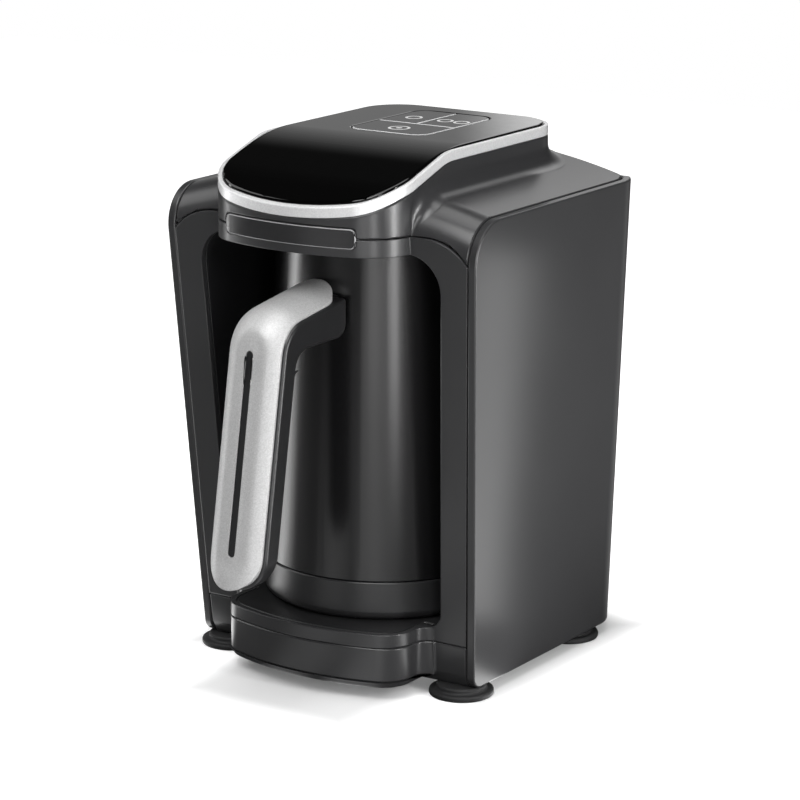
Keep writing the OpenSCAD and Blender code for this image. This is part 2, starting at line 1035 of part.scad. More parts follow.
module thermostat() {
    color("#e4dcc8")
        translate([0, pot_y, pot_z + vessel_low - 1.8 - 6]) {
            cylinder(r = 8, h = 6);
            translate([-11, -2.5, 2]) cube([22, 5, 1]);
        }
}

module pot_inlet() {
    color("#101012")
        translate([0, pot_y, 0])
            difference() {
                union() {
                    translate([-15, pot_base_r - 16, plug_z - 4.5]) cube([30, 13.8, 9]);
                    translate([-18, pot_base_r - 16, plug_z - 5]) cube([36, 3, 10]);
                }
                for (i = [-1 : 1])
                    translate([i * pin_pitch, pot_base_r - 12, plug_z])
                        rotate([-90, 0, 0]) cylinder(r = pin_r + pin_fit, h = 30);
            }
}

// ---- Handle: a grip leg, a bend and a bracket that runs to the pot's wall ----

grip_lean = 10;
bracket_rise = 8;
handle_front_y = pot_y - handle_reach;
grip_low_z = 57;
grip_leg = pot_h - 61;
grip_depth = 15.5;
handle_bend_r = 22;
handle_crown_r = 20;
cap_depth = 6.1;
cap_fit = 0.1;
bracket_low_z = pot_z + pot_h - 36.3;
bracket_len = handle_reach - 68;
bracket_end_y = pot_y - 49.4;
bracket_end_r = 6;
bracket_fillet_r = 9;
saddle_half = 10;
cover_half = handle_w / 2 - 1.4;
cover_low_z = grip_low_z + 1.4;
cover_end_y = pot_y - 49;
slot_w = 3.6;
slot_low_z = 72;
slot_high_z = bracket_low_z + 1.5;
insert_sink = 1.2;
jacket_fit = 0.05;

// Directions in the side view, as [y, z]: along the leg, along the bracket, and into the handle
// from the front of each.
leg_dir = [sin(grip_lean), cos(grip_lean)];
leg_in = [cos(grip_lean), -sin(grip_lean)];
run_dir = [cos(bracket_rise), sin(bracket_rise)];
run_in = [sin(bracket_rise), -cos(bracket_rise)];
leg_start = [handle_front_y, grip_low_z];
bend_centre = leg_start + grip_leg * leg_dir + handle_bend_r * leg_in;

// Where a line at some depth behind the leg's front meets one at some depth under the run's top.
function handle_corner(leg_depth, run_depth) =
    let (
        a = leg_start + leg_depth * leg_in,
        b = bend_centre - (handle_bend_r - run_depth) * run_in,
        cross = leg_dir[0] * run_dir[1] - leg_dir[1] * run_dir[0],
        t = ((b[0] - a[0]) * run_dir[1] - (b[1] - a[1]) * run_dir[0]) / cross
    )
    a + t * leg_dir;

// Height of the core's top at a place along the bracket's run.
function run_top(y) =
    let (outer = handle_corner(cap_depth + cap_fit, cap_depth + cap_fit))
    floor(10 * (outer[1] + (y - outer[0]) * tan(bracket_rise))) / 10;

handle_screw_len = 11;
handle_screw_z = [for (drop = [7.9, 1.6]) run_top(pot_y - 57) - drop];
function handle_screw_y(z) = pot_y - pot_r(z - pot_z) + pot_wall;
saddle_low_z = bracket_low_z + bracket_end_r;
saddle_top_z = run_top(bracket_end_y - 5) - 0.1;

// Sweeps a section drawn with X across and Y as depth from the handle's front.
module handle_sweep() {
    translate([0, handle_front_y, grip_low_z])
        rotate([-grip_lean, 0, 0]) {
            linear_extrude(grip_leg) children();
            translate([0, handle_bend_r, grip_leg]) {
                rotate([90, 0, -90])
                    rotate_extrude(angle = 90 - grip_lean - bracket_rise)
                        translate([handle_bend_r, 0])
                            rotate(90) children();
                rotate([grip_lean + bracket_rise - 90, 0, 0])
                    translate([0, -handle_bend_r, 0])
                        linear_extrude(bracket_len) children();
            }
        }
}

// Places a short section across the line where the bend meets the bracket's run.
module across_bend_end() {
    translate([0, handle_front_y, grip_low_z])
        rotate([-grip_lean, 0, 0])
            translate([0, handle_bend_r, grip_leg])
                rotate([grip_lean + bracket_rise - 90, 0, 0])
                    translate([0, -handle_bend_r, -2])
                        linear_extrude(4) children();
}

// The cover's section: an arc in front and a flat back, or the part of it below a sink.
module cap_section(sink, half, depth) {
    intersection() {
        translate([0, handle_crown_r]) circle(handle_crown_r - sink);
        translate([-half, -1]) square([2 * half, depth + 1]);
    }
}

// Rounds the grip's lower end as seen from the front, and its upper end as seen from above.
module grip_ends(half, low_z, end_y) {
    intersection() {
        along() {
            translate([-half, low_z + half]) square([2 * half, 200]);
            translate([0, low_z + half]) circle(half);
        }
        linear_extrude(220) {
            translate([-half, -140]) square([2 * half, 140 + end_y - half]);
            translate([0, end_y - half]) circle(half);
        }
    }
}

// Side view of the core, as Y and Z: the leg, the bracket and a fillet between them, under a
// rounded outer corner.
module core_side() {
    front = cap_depth + cap_fit;
    outer = handle_corner(front, front);
    inner = handle_corner(grip_depth, front);
    leg_foot = leg_start - 5 * leg_dir;
    web = leg_start + grip_depth * leg_in;
    web_y = web[0] + tan(grip_lean) * (bracket_low_z - web[1]);
    fillet_y = web_y - tan(grip_lean) * bracket_fillet_r + bracket_fillet_r / cos(grip_lean);
    fillet_z = bracket_low_z - bracket_fillet_r;
    run_end = outer + (bracket_end_y - outer[0]) / run_dir[0] * run_dir;
    foot = leg_foot + front * leg_in;
    past_end = run_end + 5 * run_dir;
    intersection() {
        union() {
            polygon([foot, outer, inner, leg_foot + grip_depth * leg_in]);
            rounded_polygon([
                [outer[0], bracket_low_z, 0],
                [bracket_end_y, bracket_low_z, bracket_end_r],
                [bracket_end_y, run_end[1], 0],
                [outer[0], outer[1], 0]
            ]);
            difference() {
                translate([web_y - 5, fillet_z]) square([fillet_y - web_y + 5, bracket_fillet_r + 1]);
                translate([fillet_y, fillet_z]) circle(bracket_fillet_r);
            }
        }
        rounded_polygon([
            [foot[0], foot[1], 0],
            [foot[0] + 100, foot[1], 0],
            [past_end[0], past_end[1], 0],
            [outer[0], outer[1], handle_bend_r - front]
        ]);
    }
}

module grip_space(grow) {
    intersection() {
        union() {
            handle_sweep() cap_section(0, cover_half + grow, cap_depth);
            across_bend_end() cap_section(0.3, cover_half - 0.3, cap_depth - 0.3);
        }
        grip_ends(cover_half + grow, cover_low_z - grow, cover_end_y + grow);
    }
}

module handle_core() {
    color("#262627")
        difference() {
            union() {
                intersection() {
                    across(-handle_w / 2, handle_w / 2) core_side();
                    grip_ends(handle_w / 2, grip_low_z, pot_y);
                }
                // Narrow saddle between the bracket's end and the pot's wall
                translate([-saddle_half, bracket_end_y - 5, saddle_low_z])
                    cube([2 * saddle_half, 12, saddle_top_z - saddle_low_z]);
            }
            translate([0, pot_y, pot_z])
                cylinder(r1 = pot_base_r + jacket_fit, r2 = pot_top_r + jacket_fit, h = pot_h);
            for (z = handle_screw_z)
                translate([0, handle_screw_y(z), z])
                    rotate([90, 0, 0]) cylinder(r = screw_r, h = handle_screw_len + 0.2);
        }
}

module grip_slot(grow) {
    along()
        translate([0, (slot_low_z + slot_high_z) / 2])
            slot(slot_w + 2 * grow, slot_high_z - slot_low_z + 2 * grow);
}

module grip_cover() {
    color("#b4b4b6")
        difference() {
            grip_space(0);
            grip_slot(0);
        }
}

module grip_insert() {
    color("#1c1c1d")
        intersection() {
            handle_sweep() cap_section(insert_sink, 4, cap_depth);
            grip_slot(-0.05);
        }
}

module handle_screws() {
    color("#9a9a9c")
        for (z = handle_screw_z)
            translate([0, handle_screw_y(z), z])
                rotate([90, 0, 0]) {
                    cylinder(r = screw_head_r, h = 1.5);
                    cylinder(r = screw_r, h = handle_screw_len);
                }
}

side_panel_left();
side_panel_right();
rear_cover();
top_shell();
face_frame();
base_tub();
platform();
bay_liner();
trim_band();
top_panel();
front_plate();
key_carrier();
control_board();
tact_switches();
boil_sensor();
power_board();
transformer();
relay();
capacitors();
speaker();
connector_housing();
connector_pins();
cord_gland();
feet();
housing_screws();
board_screws();
key_left();
key_right();
key_front();
pot_jacket();
pot_vessel();
pot_base_ring();
heater_plate();
thermostat();
pot_inlet();
handle_core();
grip_cover();
grip_insert();
handle_screws();
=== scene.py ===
import sys

import json
import logging
import math
from dataclasses import dataclass, field
from enum import Enum
from typing import Any

import bmesh
import bpy
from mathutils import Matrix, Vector

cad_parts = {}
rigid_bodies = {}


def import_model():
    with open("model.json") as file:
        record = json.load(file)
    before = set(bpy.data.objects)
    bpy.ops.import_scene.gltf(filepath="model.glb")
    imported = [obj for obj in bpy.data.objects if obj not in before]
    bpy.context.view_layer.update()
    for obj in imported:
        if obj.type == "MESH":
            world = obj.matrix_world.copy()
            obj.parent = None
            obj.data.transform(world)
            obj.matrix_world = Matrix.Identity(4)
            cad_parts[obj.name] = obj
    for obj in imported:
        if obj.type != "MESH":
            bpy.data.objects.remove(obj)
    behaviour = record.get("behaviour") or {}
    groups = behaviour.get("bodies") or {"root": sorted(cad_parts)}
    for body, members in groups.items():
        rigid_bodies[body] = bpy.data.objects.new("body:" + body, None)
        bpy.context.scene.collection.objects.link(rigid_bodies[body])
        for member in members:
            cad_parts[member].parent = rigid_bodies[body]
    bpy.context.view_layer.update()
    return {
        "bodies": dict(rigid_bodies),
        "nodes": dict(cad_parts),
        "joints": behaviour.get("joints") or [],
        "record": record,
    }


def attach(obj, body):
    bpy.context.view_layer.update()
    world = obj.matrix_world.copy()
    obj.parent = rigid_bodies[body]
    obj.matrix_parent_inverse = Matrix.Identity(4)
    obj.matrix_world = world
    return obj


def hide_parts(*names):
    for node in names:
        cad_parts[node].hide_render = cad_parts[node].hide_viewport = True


log = logging.getLogger("coffee_maker")

Tree = bpy.types.NodeTree
Node = bpy.types.Node
Socket = bpy.types.NodeSocket
Skin = bmesh.types.BMesh
Point = tuple[float, float, float]

MM = 0.001
WHITE = (1.0, 1.0, 1.0, 1.0)
MIDDLE = (0.0, 0.0, 0.12)

# Corners closer than WELD are one, a cut takes a corner within SNAP as its own, and an edge
# shorter than SPECK is closed up. An edge is sharp where its faces turn more than SHARP_DEGREES.
WELD = 0.002 * MM
SNAP = 0.02 * MM
SPECK = 0.005 * MM
SHARP_DEGREES = 30.0


class Body(Enum):
    """The rigid bodies that pieces ride on."""

    HOUSING = "housing"
    KEY_LEFT = "key_left"
    KEY_RIGHT = "key_right"
    KEY_FRONT = "key_front"
    POT = "pot"


# ---- Helpers for values and nodes ----


def linear(colour: str) -> tuple[float, float, float, float]:
    """Turns an sRGB hex colour to linear light.

    Args:
        colour: Six hex digits with a leading hash.

    Returns:
        Red, green, blue and an alpha of 1.
    """
    parts = [int(colour[i : i + 2], 16) / 255 for i in (1, 3, 5)]
    knee, slope, offset, power = 0.04045, 12.92, 0.055, 2.4
    light = [p / slope if p <= knee else ((p + offset) / (1 + offset)) ** power for p in parts]
    return (light[0], light[1], light[2], 1.0)


def per_metre(size_mm: float) -> float:
    """Gives the texture scale at which one pattern cell is this many millimetres."""
    return 1 / (size_mm * MM)


def eased(share: float) -> float:
    """Keeps a share within 0 and 1 and lets it start and end gently."""
    share = min(max(share, 0.0), 1.0)
    return share * share * (3 - 2 * share)


def soft_step(start: float, end: float, before: float, after: float) -> dict[str | int, object]:
    """Gives the settings with which a Map Range node makes a gentle step.

    Args:
        start: Where the step starts.
        end: Where it ends.
        before: The value up to its start.
        after: The value from its end.

    Returns:
        The settings by name.
    """
    limits = {"From Min": start, "From Max": end, "To Min": before, "To Max": after}
    return {"interpolation_type": "SMOOTHSTEP", **limits}


def add_node(
    tree: Tree,
    kind: str,
    settings: dict[str | int, object] | None = None,
    links: dict[str | int, Socket] | None = None,
) -> Node:
    """Adds a node with its settings and links.

    Args:
        tree: The node tree that gets it.
        kind: The node's type without its ShaderNode prefix.
        settings: Values by an input's name or number, or by a property's name.
        links: Sockets of other nodes by the input that each feeds.

    Returns:
        The new node.
    """
    node = tree.nodes.new("ShaderNode" + kind)
    settings = settings or {}
    properties = [k for k in settings if isinstance(k, str) and k not in node.inputs.keys()]
    for key in properties:
        setattr(node, key, settings[key])
    for key, value in settings.items():
        if key not in properties:
            node.inputs[key].default_value = value
    for key, socket in (links or {}).items():
        tree.links.new(socket, node.inputs[key])
    return node


def folded(tree: Tree, operation: str, values: list[Socket]) -> Socket:
    """Joins values to one, two at a time.

    Args:
        tree: The node tree.
        operation: The Math operation that joins two.
        values: The sockets of the values, one or more.

    Returns:
        The socket of the result.
    """
    total = values[0]
    for value in values[1:]:
        total = add_node(tree, "Math", {"operation": operation}, {0: total, 1: value}).outputs[0]
    return total


# ---- Helpers for meshes and objects ----


def welded(source: bpy.types.Object, flat: float = 0.2) -> Skin:
    """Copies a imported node's loose triangles and joins them to one skin.

    Args:
        source: The node's object, which is left as it is.
        flat: Faces that turn less than this many degrees become one; 0 keeps the triangles.

    Returns:
        The skin.
    """
    mesh = bmesh.new()
    mesh.from_mesh(source.data)
    bmesh.ops.remove_doubles(mesh, verts=mesh.verts, dist=WELD)
    if flat:
        bmesh.ops.dissolve_limit(
            mesh, angle_limit=math.radians(flat), verts=mesh.verts, edges=mesh.edges
        )
    return mesh


def sliced(
    mesh: Skin, axis: int, low: float, high: float, step: float, top: float = math.inf
) -> None:
    """Cuts a skin by parallel planes, so that it can be bent between them.

    Args:
        mesh: The skin.
        axis: The axis that the planes are square to.
        low: Place of the first plane.
        high: Place of the last plane.
        step: Distance between planes.
        top: Faces that reach above this height aren't cut.
    """
    square = Vector((0.0, 0.0, 0.0))
    square[axis] = 1.0
    for cut in range(round((high - low) / step) + 1):
        faces = [face for face in mesh.faces if max(v.co.z for v in face.verts) <= top]
        edges = {edge for face in faces for edge in face.edges}
        verts = {vert for face in faces for vert in face.verts}
        bmesh.ops.bisect_plane(
            mesh,
            geom=[*verts, *edges, *faces],
            dist=SNAP,
            plane_co=square * (low + cut * step),
            plane_no=square,
        )
    bmesh.ops.dissolve_degenerate(mesh, dist=SPECK, edges=mesh.edges)
    mesh.normal_update()


def linked(name: str, data: bpy.types.ID) -> bpy.types.Object:
    """Makes an object and puts it in the scene.

    Args:
        name: Its name.
        data: Its mesh, lamp or camera.

    Returns:
        The object.
    """
    made = bpy.data.objects.new(name, data)
    bpy.context.scene.collection.objects.link(made)
    return made


def aimed(thing: bpy.types.Object, stand: Point, target: Point) -> None:
    """Puts a lamp or camera in its place and turns it to its target.

    Args:
        thing: The lamp or camera.
        stand: Its place.
        target: What it points at.
    """
    thing.location = stand
    way = Vector(target) - Vector(stand)
    thing.rotation_euler = way.to_track_quat("-Z", "Y").to_euler()


# ---- Finishes ----


@dataclass(frozen=True)
class Surface:
    """A material in the making: its node tree, its shader and Object coordinates in metres."""

    tree: Tree
    shader: Node
    where: Socket

    def fix(self, name: str, value: float) -> None:
        """Sets one of the shader's inputs for the whole surface."""
        self.shader.inputs[name].default_value = value

    def feed(self, name: str, socket: Socket) -> None:
        """Links a pattern to one of the shader's inputs."""
        self.tree.links.new(socket, self.shader.inputs[name])

    def pattern(self, kind: str, size_mm: float, **settings: object) -> Node:
        """Adds a texture over the surface.

        Args:
            kind: The texture node's type.
            size_mm: Size of its cells.
            settings: Its other values, by input or property.

        Returns:
            The texture node.
        """
        values = {"Scale": per_metre(size_mm), **settings}
        return add_node(self.tree, kind, values, {"Vector": self.where})

    def mottle(self, size_mm: float, low: float, high: float) -> Socket:
        """Makes a value that drifts between two limits in soft patches.

        Args:
            size_mm: Size of a patch.
            low: Least value.
            high: Most value.

        Returns:
            The socket of the value.
        """
        patches = self.pattern("TexNoise", size_mm, Detail=3.0)
        # Noise seldom leaves the range from 0.2 to 0.8.
        spread = soft_step(0.2, 0.8, low, high)
        value = add_node(self.tree, "MapRange", spread, {"Value": patches.outputs["Fac"]})
        return value.outputs["Result"]

    def tint(self, amount: Socket, dark: str, light: str) -> None:
        """Colours the surface by a pattern between two tones.

        Args:
            amount: The pattern, between 0 and 1.
            dark: Hex colour at 0.
            light: Hex colour at 1.
        """
        ramp = add_node(self.tree, "ValToRGB", {}, {"Fac": amount})
        for element, colour in zip(ramp.color_ramp.elements, (dark, light)):
            element.color = linear(colour)
        self.feed("Base Color", ramp.outputs["Color"])

    def dent(
        self, height: Socket, depth_mm: float, strength: float, soft_mm: float = 0.0
    ) -> None:
        """Gives the surface a fine relief.

        Args:
            height: The pattern, between 0 and 1.
            depth_mm: What a height of 1 stands for.
            strength: How much of the relief shows.
            soft_mm: Radius by which the shading rounds hard edges, or 0 for none.
        """
        links = {"Height": height}
        if soft_mm:
            edges = add_node(self.tree, "Bevel", {"samples": 6, "Radius": soft_mm * MM})
            links["Normal"] = edges.outputs["Normal"]
        relief = {"Strength": strength, "Distance": depth_mm * MM}
        self.feed("Normal", add_node(self.tree, "Bump", relief, links).outputs["Normal"])


@dataclass(frozen=True)
class Finish:
    """A surface finish; a subclass wires its pattern into the shader."""

    name: str
    colour: str
    roughness: float

    def material(self) -> bpy.types.Material:
        """Makes the finish's material the first time, and finds it again after that.

        Returns:
            The material.
        """
        made = bpy.data.materials.get(self.name)
        if made is None:
            made = bpy.data.materials.new(self.name)
            made.use_nodes = True
            made.diffuse_color = linear(self.colour)
            shader = made.node_tree.nodes["Principled BSDF"]
            shader.inputs["Base Color"].default_value = linear(self.colour)
            shader.inputs["Roughness"].default_value = self.roughness
            where = add_node(made.node_tree, "TexCoord").outputs["Object"]
            self.wire(Surface(made.node_tree, shader, where))
        return made

    def wire(self, surface: Surface) -> None:
        """Adds the finish's pattern to the surface; a plain finish has none."""


@dataclass(frozen=True)
class MouldedAbs(Finish):
    """ABS from a spark-eroded mould: satin, with a fine even grain that softens reflections."""

    light: str
    soft_mm: float = 0.0
    ior: float = 1.53
    drift_mm: float = 40.0
    sheen_mm: float = 60.0
    sheen: float = 0.01
    grain_mm: float = 0.7
    depth_mm: float = 0.003
    strength: float = 0.4

    def wire(self, surface: Surface) -> None:
        """Adds the mould's grain and a faint drift in colour and sheen.

        Args:
            surface: The material in the making.
        """
        surface.fix("IOR", self.ior)
        surface.tint(surface.mottle(self.drift_mm, 0.0, 1.0), self.colour, self.light)
        low, high = self.roughness - self.sheen, self.roughness + self.sheen
        surface.feed("Roughness", surface.mottle(self.sheen_mm, low, high))
        # The real grain is near 0.1 mm; it is drawn coarser so that it shows.
        grain = surface.pattern("TexNoise", self.grain_mm, Detail=2.0)
        surface.dent(grain.outputs["Fac"], self.depth_mm, self.strength, self.soft_mm)


@dataclass(frozen=True)
class GlossAcrylic(Finish):
    """Polished black acrylic: a deep mirror face with a faint orange-peel wave."""

    ior: float = 1.49
    peel_mm: float = 14.0
    depth_mm: float = 0.03
    strength: float = 0.25
    wipe_mm: float = 5.0
    wipe: float = 0.03

    def wire(self, surface: Surface) -> None:
        """Adds the slow wave of a moulded gloss face and fine wipe marks.

        Args:
            surface: The material in the making.
        """
        surface.fix("IOR", self.ior)
        wave = surface.pattern("TexNoise", self.peel_mm, Detail=0.0)
        surface.dent(wave.outputs["Fac"], self.depth_mm, self.strength)
        wipes = surface.mottle(self.wipe_mm, self.roughness, self.roughness + self.wipe)
        surface.feed("Roughness", wipes)


@dataclass(frozen=True)
class Ring:
    """A printed ring, or a dot where its radius is 0, in millimetres."""

    x: float
    y: float
    radius: float
    half_line: float = 0.6


@dataclass(frozen=True)
class PrintedKey(GlossAcrylic):
    """A moulded key cap with its mark printed on it as rings and dots in pale ink."""

    marks: tuple[Ring, ...] = field(kw_only=True)
    ink: str = "#f0f0f0"

    def wire(self, surface: Surface) -> None:
        """Adds the marks to the gloss face.

        Args:
            surface: The material in the making.
        """
        super().wire(surface)
        tree = surface.tree
        flat = add_node(tree, "Mapping", {"Scale": (1.0, 1.0, 0.0)}, {"Vector": surface.where})
        printed = []
        for mark in self.marks:
            centre = {"operation": "DISTANCE", 1: (mark.x * MM, mark.y * MM, 0.0)}
            reach = add_node(tree, "VectorMath", centre, {0: flat.outputs["Vector"]})
            line = {"operation": "COMPARE", 1: mark.radius * MM, 2: mark.half_line * MM}
            ring = add_node(tree, "Math", line, {0: reach.outputs["Value"]})
            printed.append(ring.outputs[0])
        surface.tint(folded(tree, "MAXIMUM", printed), self.colour, self.ink)


@dataclass(frozen=True)
class SatinSilverPaint(Finish):
    """Metallic silver lacquer over moulded plastic: pale, satin, with a fine flake sparkle."""

    light: str
    soft_mm: float = 0.0
    flake_mm: float = 0.5
    metallic: float = 0.35
    depth_mm: float = 0.008
    strength: float = 0.4

    def wire(self, surface: Surface) -> None:
        """Adds the flakes, each a cell of its own tone.

        Args:
            surface: The material in the making.
        """
        surface.fix("Metallic", self.metallic)
        # Real flakes are under 0.1 mm; these are drawn as large as a pixel.
        flakes = surface.pattern("TexVoronoi", self.flake_mm)
        tone = add_node(surface.tree, "RGBToBW", {}, {"Color": flakes.outputs["Color"]})
        surface.tint(tone.outputs["Val"], self.colour, self.light)
        grit = surface.pattern("TexNoise", self.flake_mm, Detail=1.0)
        surface.dent(grit.outputs["Fac"], self.depth_mm, self.strength, self.soft_mm)


@dataclass(frozen=True)
class CoatedSteel(Finish):
    """Black stoving paint on drawn steel: smooth satin, with tall soft reflections."""

    light: str
    ior: float = 1.55
    coat: float = 0.3
    coat_roughness: float = 0.22
    drift_mm: float = 30.0
    peel_mm: float = 0.9
    depth_mm: float = 0.012
    strength: float = 0.4

    def wire(self, surface: Surface) -> None:
        """Adds the paint's fine texture and its thin clear top coat.

        Args:
            surface: The material in the making.
        """
        surface.fix("IOR", self.ior)
        surface.fix("Coat Weight", self.coat)
        surface.fix("Coat Roughness", self.coat_roughness)
        surface.tint(surface.mottle(self.drift_mm, 0.0, 1.0), self.colour, self.light)
        peel = surface.pattern("TexNoise", self.peel_mm, Detail=1.0)
        surface.dent(peel.outputs["Fac"], self.depth_mm, self.strength)


@dataclass(frozen=True)
class BrushedSteel(Finish):
    """Stainless steel turned or brushed one way, with fine lines that stretch reflections."""

    squeeze: Point = (1.0, 1.0, 40.0)
    line_mm: float = 8.0
    smoother: float = 0.08
    rougher: float = 0.1
    depth_mm: float = 0.01
    strength: float = 0.4

    def wire(self, surface: Surface) -> None:
        """Adds the brush lines as squeezed noise.

        Args:
            surface: The material in the making.
        """
        surface.fix("Metallic", 1.0)
        tree, squeeze = surface.tree, {"Scale": self.squeeze}
        squeezed = add_node(tree, "Mapping", squeeze, {"Vector": surface.where})
        lines = surface.pattern("TexNoise", self.line_mm, Detail=4.0)
        tree.links.new(squeezed.outputs["Vector"], lines.inputs["Vector"])
        low, high = self.roughness - self.smoother, self.roughness + self.rougher
        limits = {"To Min": low, "To Max": high}
        sheen = add_node(tree, "MapRange", limits, {"Value": lines.outputs["Fac"]})
        surface.feed("Roughness", sheen.outputs["Result"])
        surface.dent(lines.outputs["Fac"], self.depth_mm, self.strength)


@dataclass(frozen=True)
class MouldedRubber(Finish):
    """Black rubber from a matt mould: dull, with a soft bloom."""

    bloom: str
    bloom_mm: float = 5.0
    skin_mm: float = 0.8
    depth_mm: float = 0.03
    strength: float = 0.5

    def wire(self, surface: Surface) -> None:
        """Adds the bloom and a coarse skin.

        Args:
            surface: The material in the making.
        """
        surface.tint(surface.mottle(self.bloom_mm, 0.0, 1.0), self.colour, self.bloom)
        skin = surface.pattern("TexNoise", self.skin_mm)
        surface.dent(skin.outputs["Fac"], self.depth_mm, self.strength)


@dataclass(frozen=True)
class PrintedBoard(Finish):
    """Glass-epoxy board under green solder mask, with paler copper tracks below it."""

    track: str = "#2f7a45"
    field_mm: float = 12.0
    track_width: float = 0.03
    depth_mm: float = 0.05
    strength: float = 0.6

    def wire(self, surface: Surface) -> None:
        """Adds tracks as the mortar of an uneven brick pattern.

        Args:
            surface: The material in the making.
        """
        mask, track = linear(self.colour), linear(self.track)
        tracks = surface.pattern("TexBrick", self.field_mm, Color1=mask, Color2=mask, Mortar=track)
        tracks.inputs["Mortar Size"].default_value = self.track_width
        surface.feed("Base Color", tracks.outputs["Color"])
        surface.dent(tracks.outputs["Fac"], self.depth_mm, self.strength)


@dataclass(frozen=True)
class PlatedMetal(Finish):
    """Plated or drawn metal parts: bright, with small pits and dull patches."""

    dull: str = "#8a8a8c"
    patch_mm: float = 2.5
    pit_mm: float = 0.4
    depth_mm: float = 0.02
    strength: float = 0.4

    def wire(self, surface: Surface) -> None:
        """Adds dull patches and fine pits.

        Args:
            surface: The material in the making.
        """
        surface.fix("Metallic", 1.0)
        surface.tint(surface.mottle(self.patch_mm, 0.0, 1.0), self.dull, self.colour)
        pits = surface.pattern("TexNoise", self.pit_mm)
        surface.dent(pits.outputs["Fac"], self.depth_mm, self.strength)


@dataclass(frozen=True)
class WoundCopper(Finish):
    """Enamelled copper wire wound in layers: fine parallel ridges of one wire's width."""

    groove: str = "#6b3a1e"
    metallic: float = 0.9
    wire_mm: float = 0.6
    waves: float = 20.0
    depth_mm: float = 0.2
    strength: float = 0.8

    def wire(self, surface: Surface) -> None:
        """Adds the turns as bands one wire apart, with painted shade in the grooves between them.

        Args:
            surface: The material in the making.
        """
        surface.fix("Metallic", self.metallic)
        # A cell of the wave texture holds this many bands.
        turns = surface.pattern("TexWave", self.wire_mm * self.waves, bands_direction="Z")
        # The grooves, low in the bump, get the dark colour: painted shade.
        surface.tint(turns.outputs["Fac"], self.groove, self.colour)
        surface.dent(turns.outputs["Fac"], self.depth_mm, self.strength)


# Anthracite satin shells with broad soft highlights. A drift of the roughness across 0.274
# would show as islands once a render is denoised, so it stays above that.
HOUSING_ABS = MouldedAbs("moulded_abs_anthracite_satin", "#2d2d2e", 0.29, "#303031")
# The same, shaded round at its edges, where a thin line of light runs along the frame.
FRAME_ABS = MouldedAbs("moulded_abs_anthracite_face_frame", "#2d2d2e", 0.3, "#303031", 0.8)
# Blacker and duller than the shells, so that platform, gland and grip strip step back.
BLACK_ABS = MouldedAbs("moulded_abs_black_satin", "#1c1c1d", 0.38, "#212122")
# A matt dark chamber that gives almost no reflections behind the pot.
BAY_ABS = MouldedAbs("moulded_abs_bay_black_matt", "#141415", 0.5, "#18181a")
# Plain unpolished plastic of hidden parts.
INNER_ABS = MouldedAbs("moulded_abs_natural_black_inner", "#2a2a2b", 0.55, "#303031")
# Piano black: nearly no colour of its own, only what it mirrors.
TOP_ACRYLIC = GlossAcrylic("polished_acrylic_black", "#010101", 0.05)
# A smoky grey plate with a blurred shine.
PLATE_ACRYLIC = GlossAcrylic("moulded_acrylic_smoke_plate", "#2b2b2c", 0.18)
# Key caps a touch greyer than the gloss top around them, with pale rings: one cup, two, start.
KEY_ACRYLIC = {
    body: PrintedKey(f"moulded_acrylic_key_{name}", "#101011", 0.08, marks=marks)
    for body, name, marks in (
        (Body.KEY_LEFT, "one_cup", (Ring(-10.5, 53.5, 3.4),)),
        (Body.KEY_RIGHT, "two_cups", (Ring(6.2, 53.5, 3.2), Ring(14.8, 53.5, 3.2))),
        (Body.KEY_FRONT, "start", (Ring(0.0, 26.0, 4.4), Ring(0.0, 26.0, 0.0, 1.4))),
    )
}
# A bright, even silver line round the head.
BAND_SILVER = SatinSilverPaint("silver_lacquer_band_satin", "#dadadb", 0.36, "#ececec")
# Pale, duller silver with a sandy sparkle, as on blasted metal.
GRIP_SILVER = SatinSilverPaint(
    "silver_lacquer_grip_blasted", "#b0b0b0", 0.5, "#c8c8c8", soft_mm=0.8, flake_mm=0.4
)
# Tough black plastic with a slight shine from use.
HANDLE_ABS = MouldedAbs("moulded_nylon_black_handle", "#1d1d1e", 0.33, "#232324")
# A black wall with tall, soft streaks of light.
POT_PAINT = CoatedSteel("stoved_paint_black_on_steel", "#0b0b0c", 0.26, "#0f0f10")
# Bright steel with level lines from the lathe.
VESSEL_STEEL = BrushedSteel("turned_stainless_vessel", "#c8c8ca", 0.26)
# Greyer metal, brushed along one side.
HEATER_STEEL = BrushedSteel("brushed_heater_alloy", "#a9a9ab", 0.34, (1.0, 40.0, 1.0))
# Dull black without a highlight.
FOOT_RUBBER = MouldedRubber("moulded_rubber_black", "#141415", 0.7, "#1b1b1c")
# Deep green with raised paler tracks.
BOARD = PrintedBoard("glass_epoxy_board_green_mask", "#14502a", 0.35)
# Cool bright screws with dull patches.
ZINC = PlatedMetal("zinc_plated_steel", "#c4c6c8", 0.32)
# Warm yellow pins, browner where they are handled.
BRASS = PlatedMetal("drawn_brass_pins", "#d6b25a", 0.28, "#a98238")
# Red-brown ridges, with painted shade in the grooves between them.
COPPER = WoundCopper("enamelled_copper_winding", "#c2713a", 0.35)
# Chalky cream bodies.
CERAMIC = MouldedAbs("fired_ceramic_and_resin_parts", "#c9c3b4", 0.45, "#d6d1c4")
# A pale painted highlight on each key's rounded edge.
KEY_EDGE_HIGHLIGHT = MouldedAbs("key_edge_painted_highlight", "#c4c4c5", 0.4, "#cccccd")
# A grey painted highlight on the plate's rounded edge.
PLATE_EDGE_HIGHLIGHT = MouldedAbs("plate_edge_painted_highlight", "#8e8e8f", 0.25, "#9a9a9b")


# ---- Sub-assemblies ----


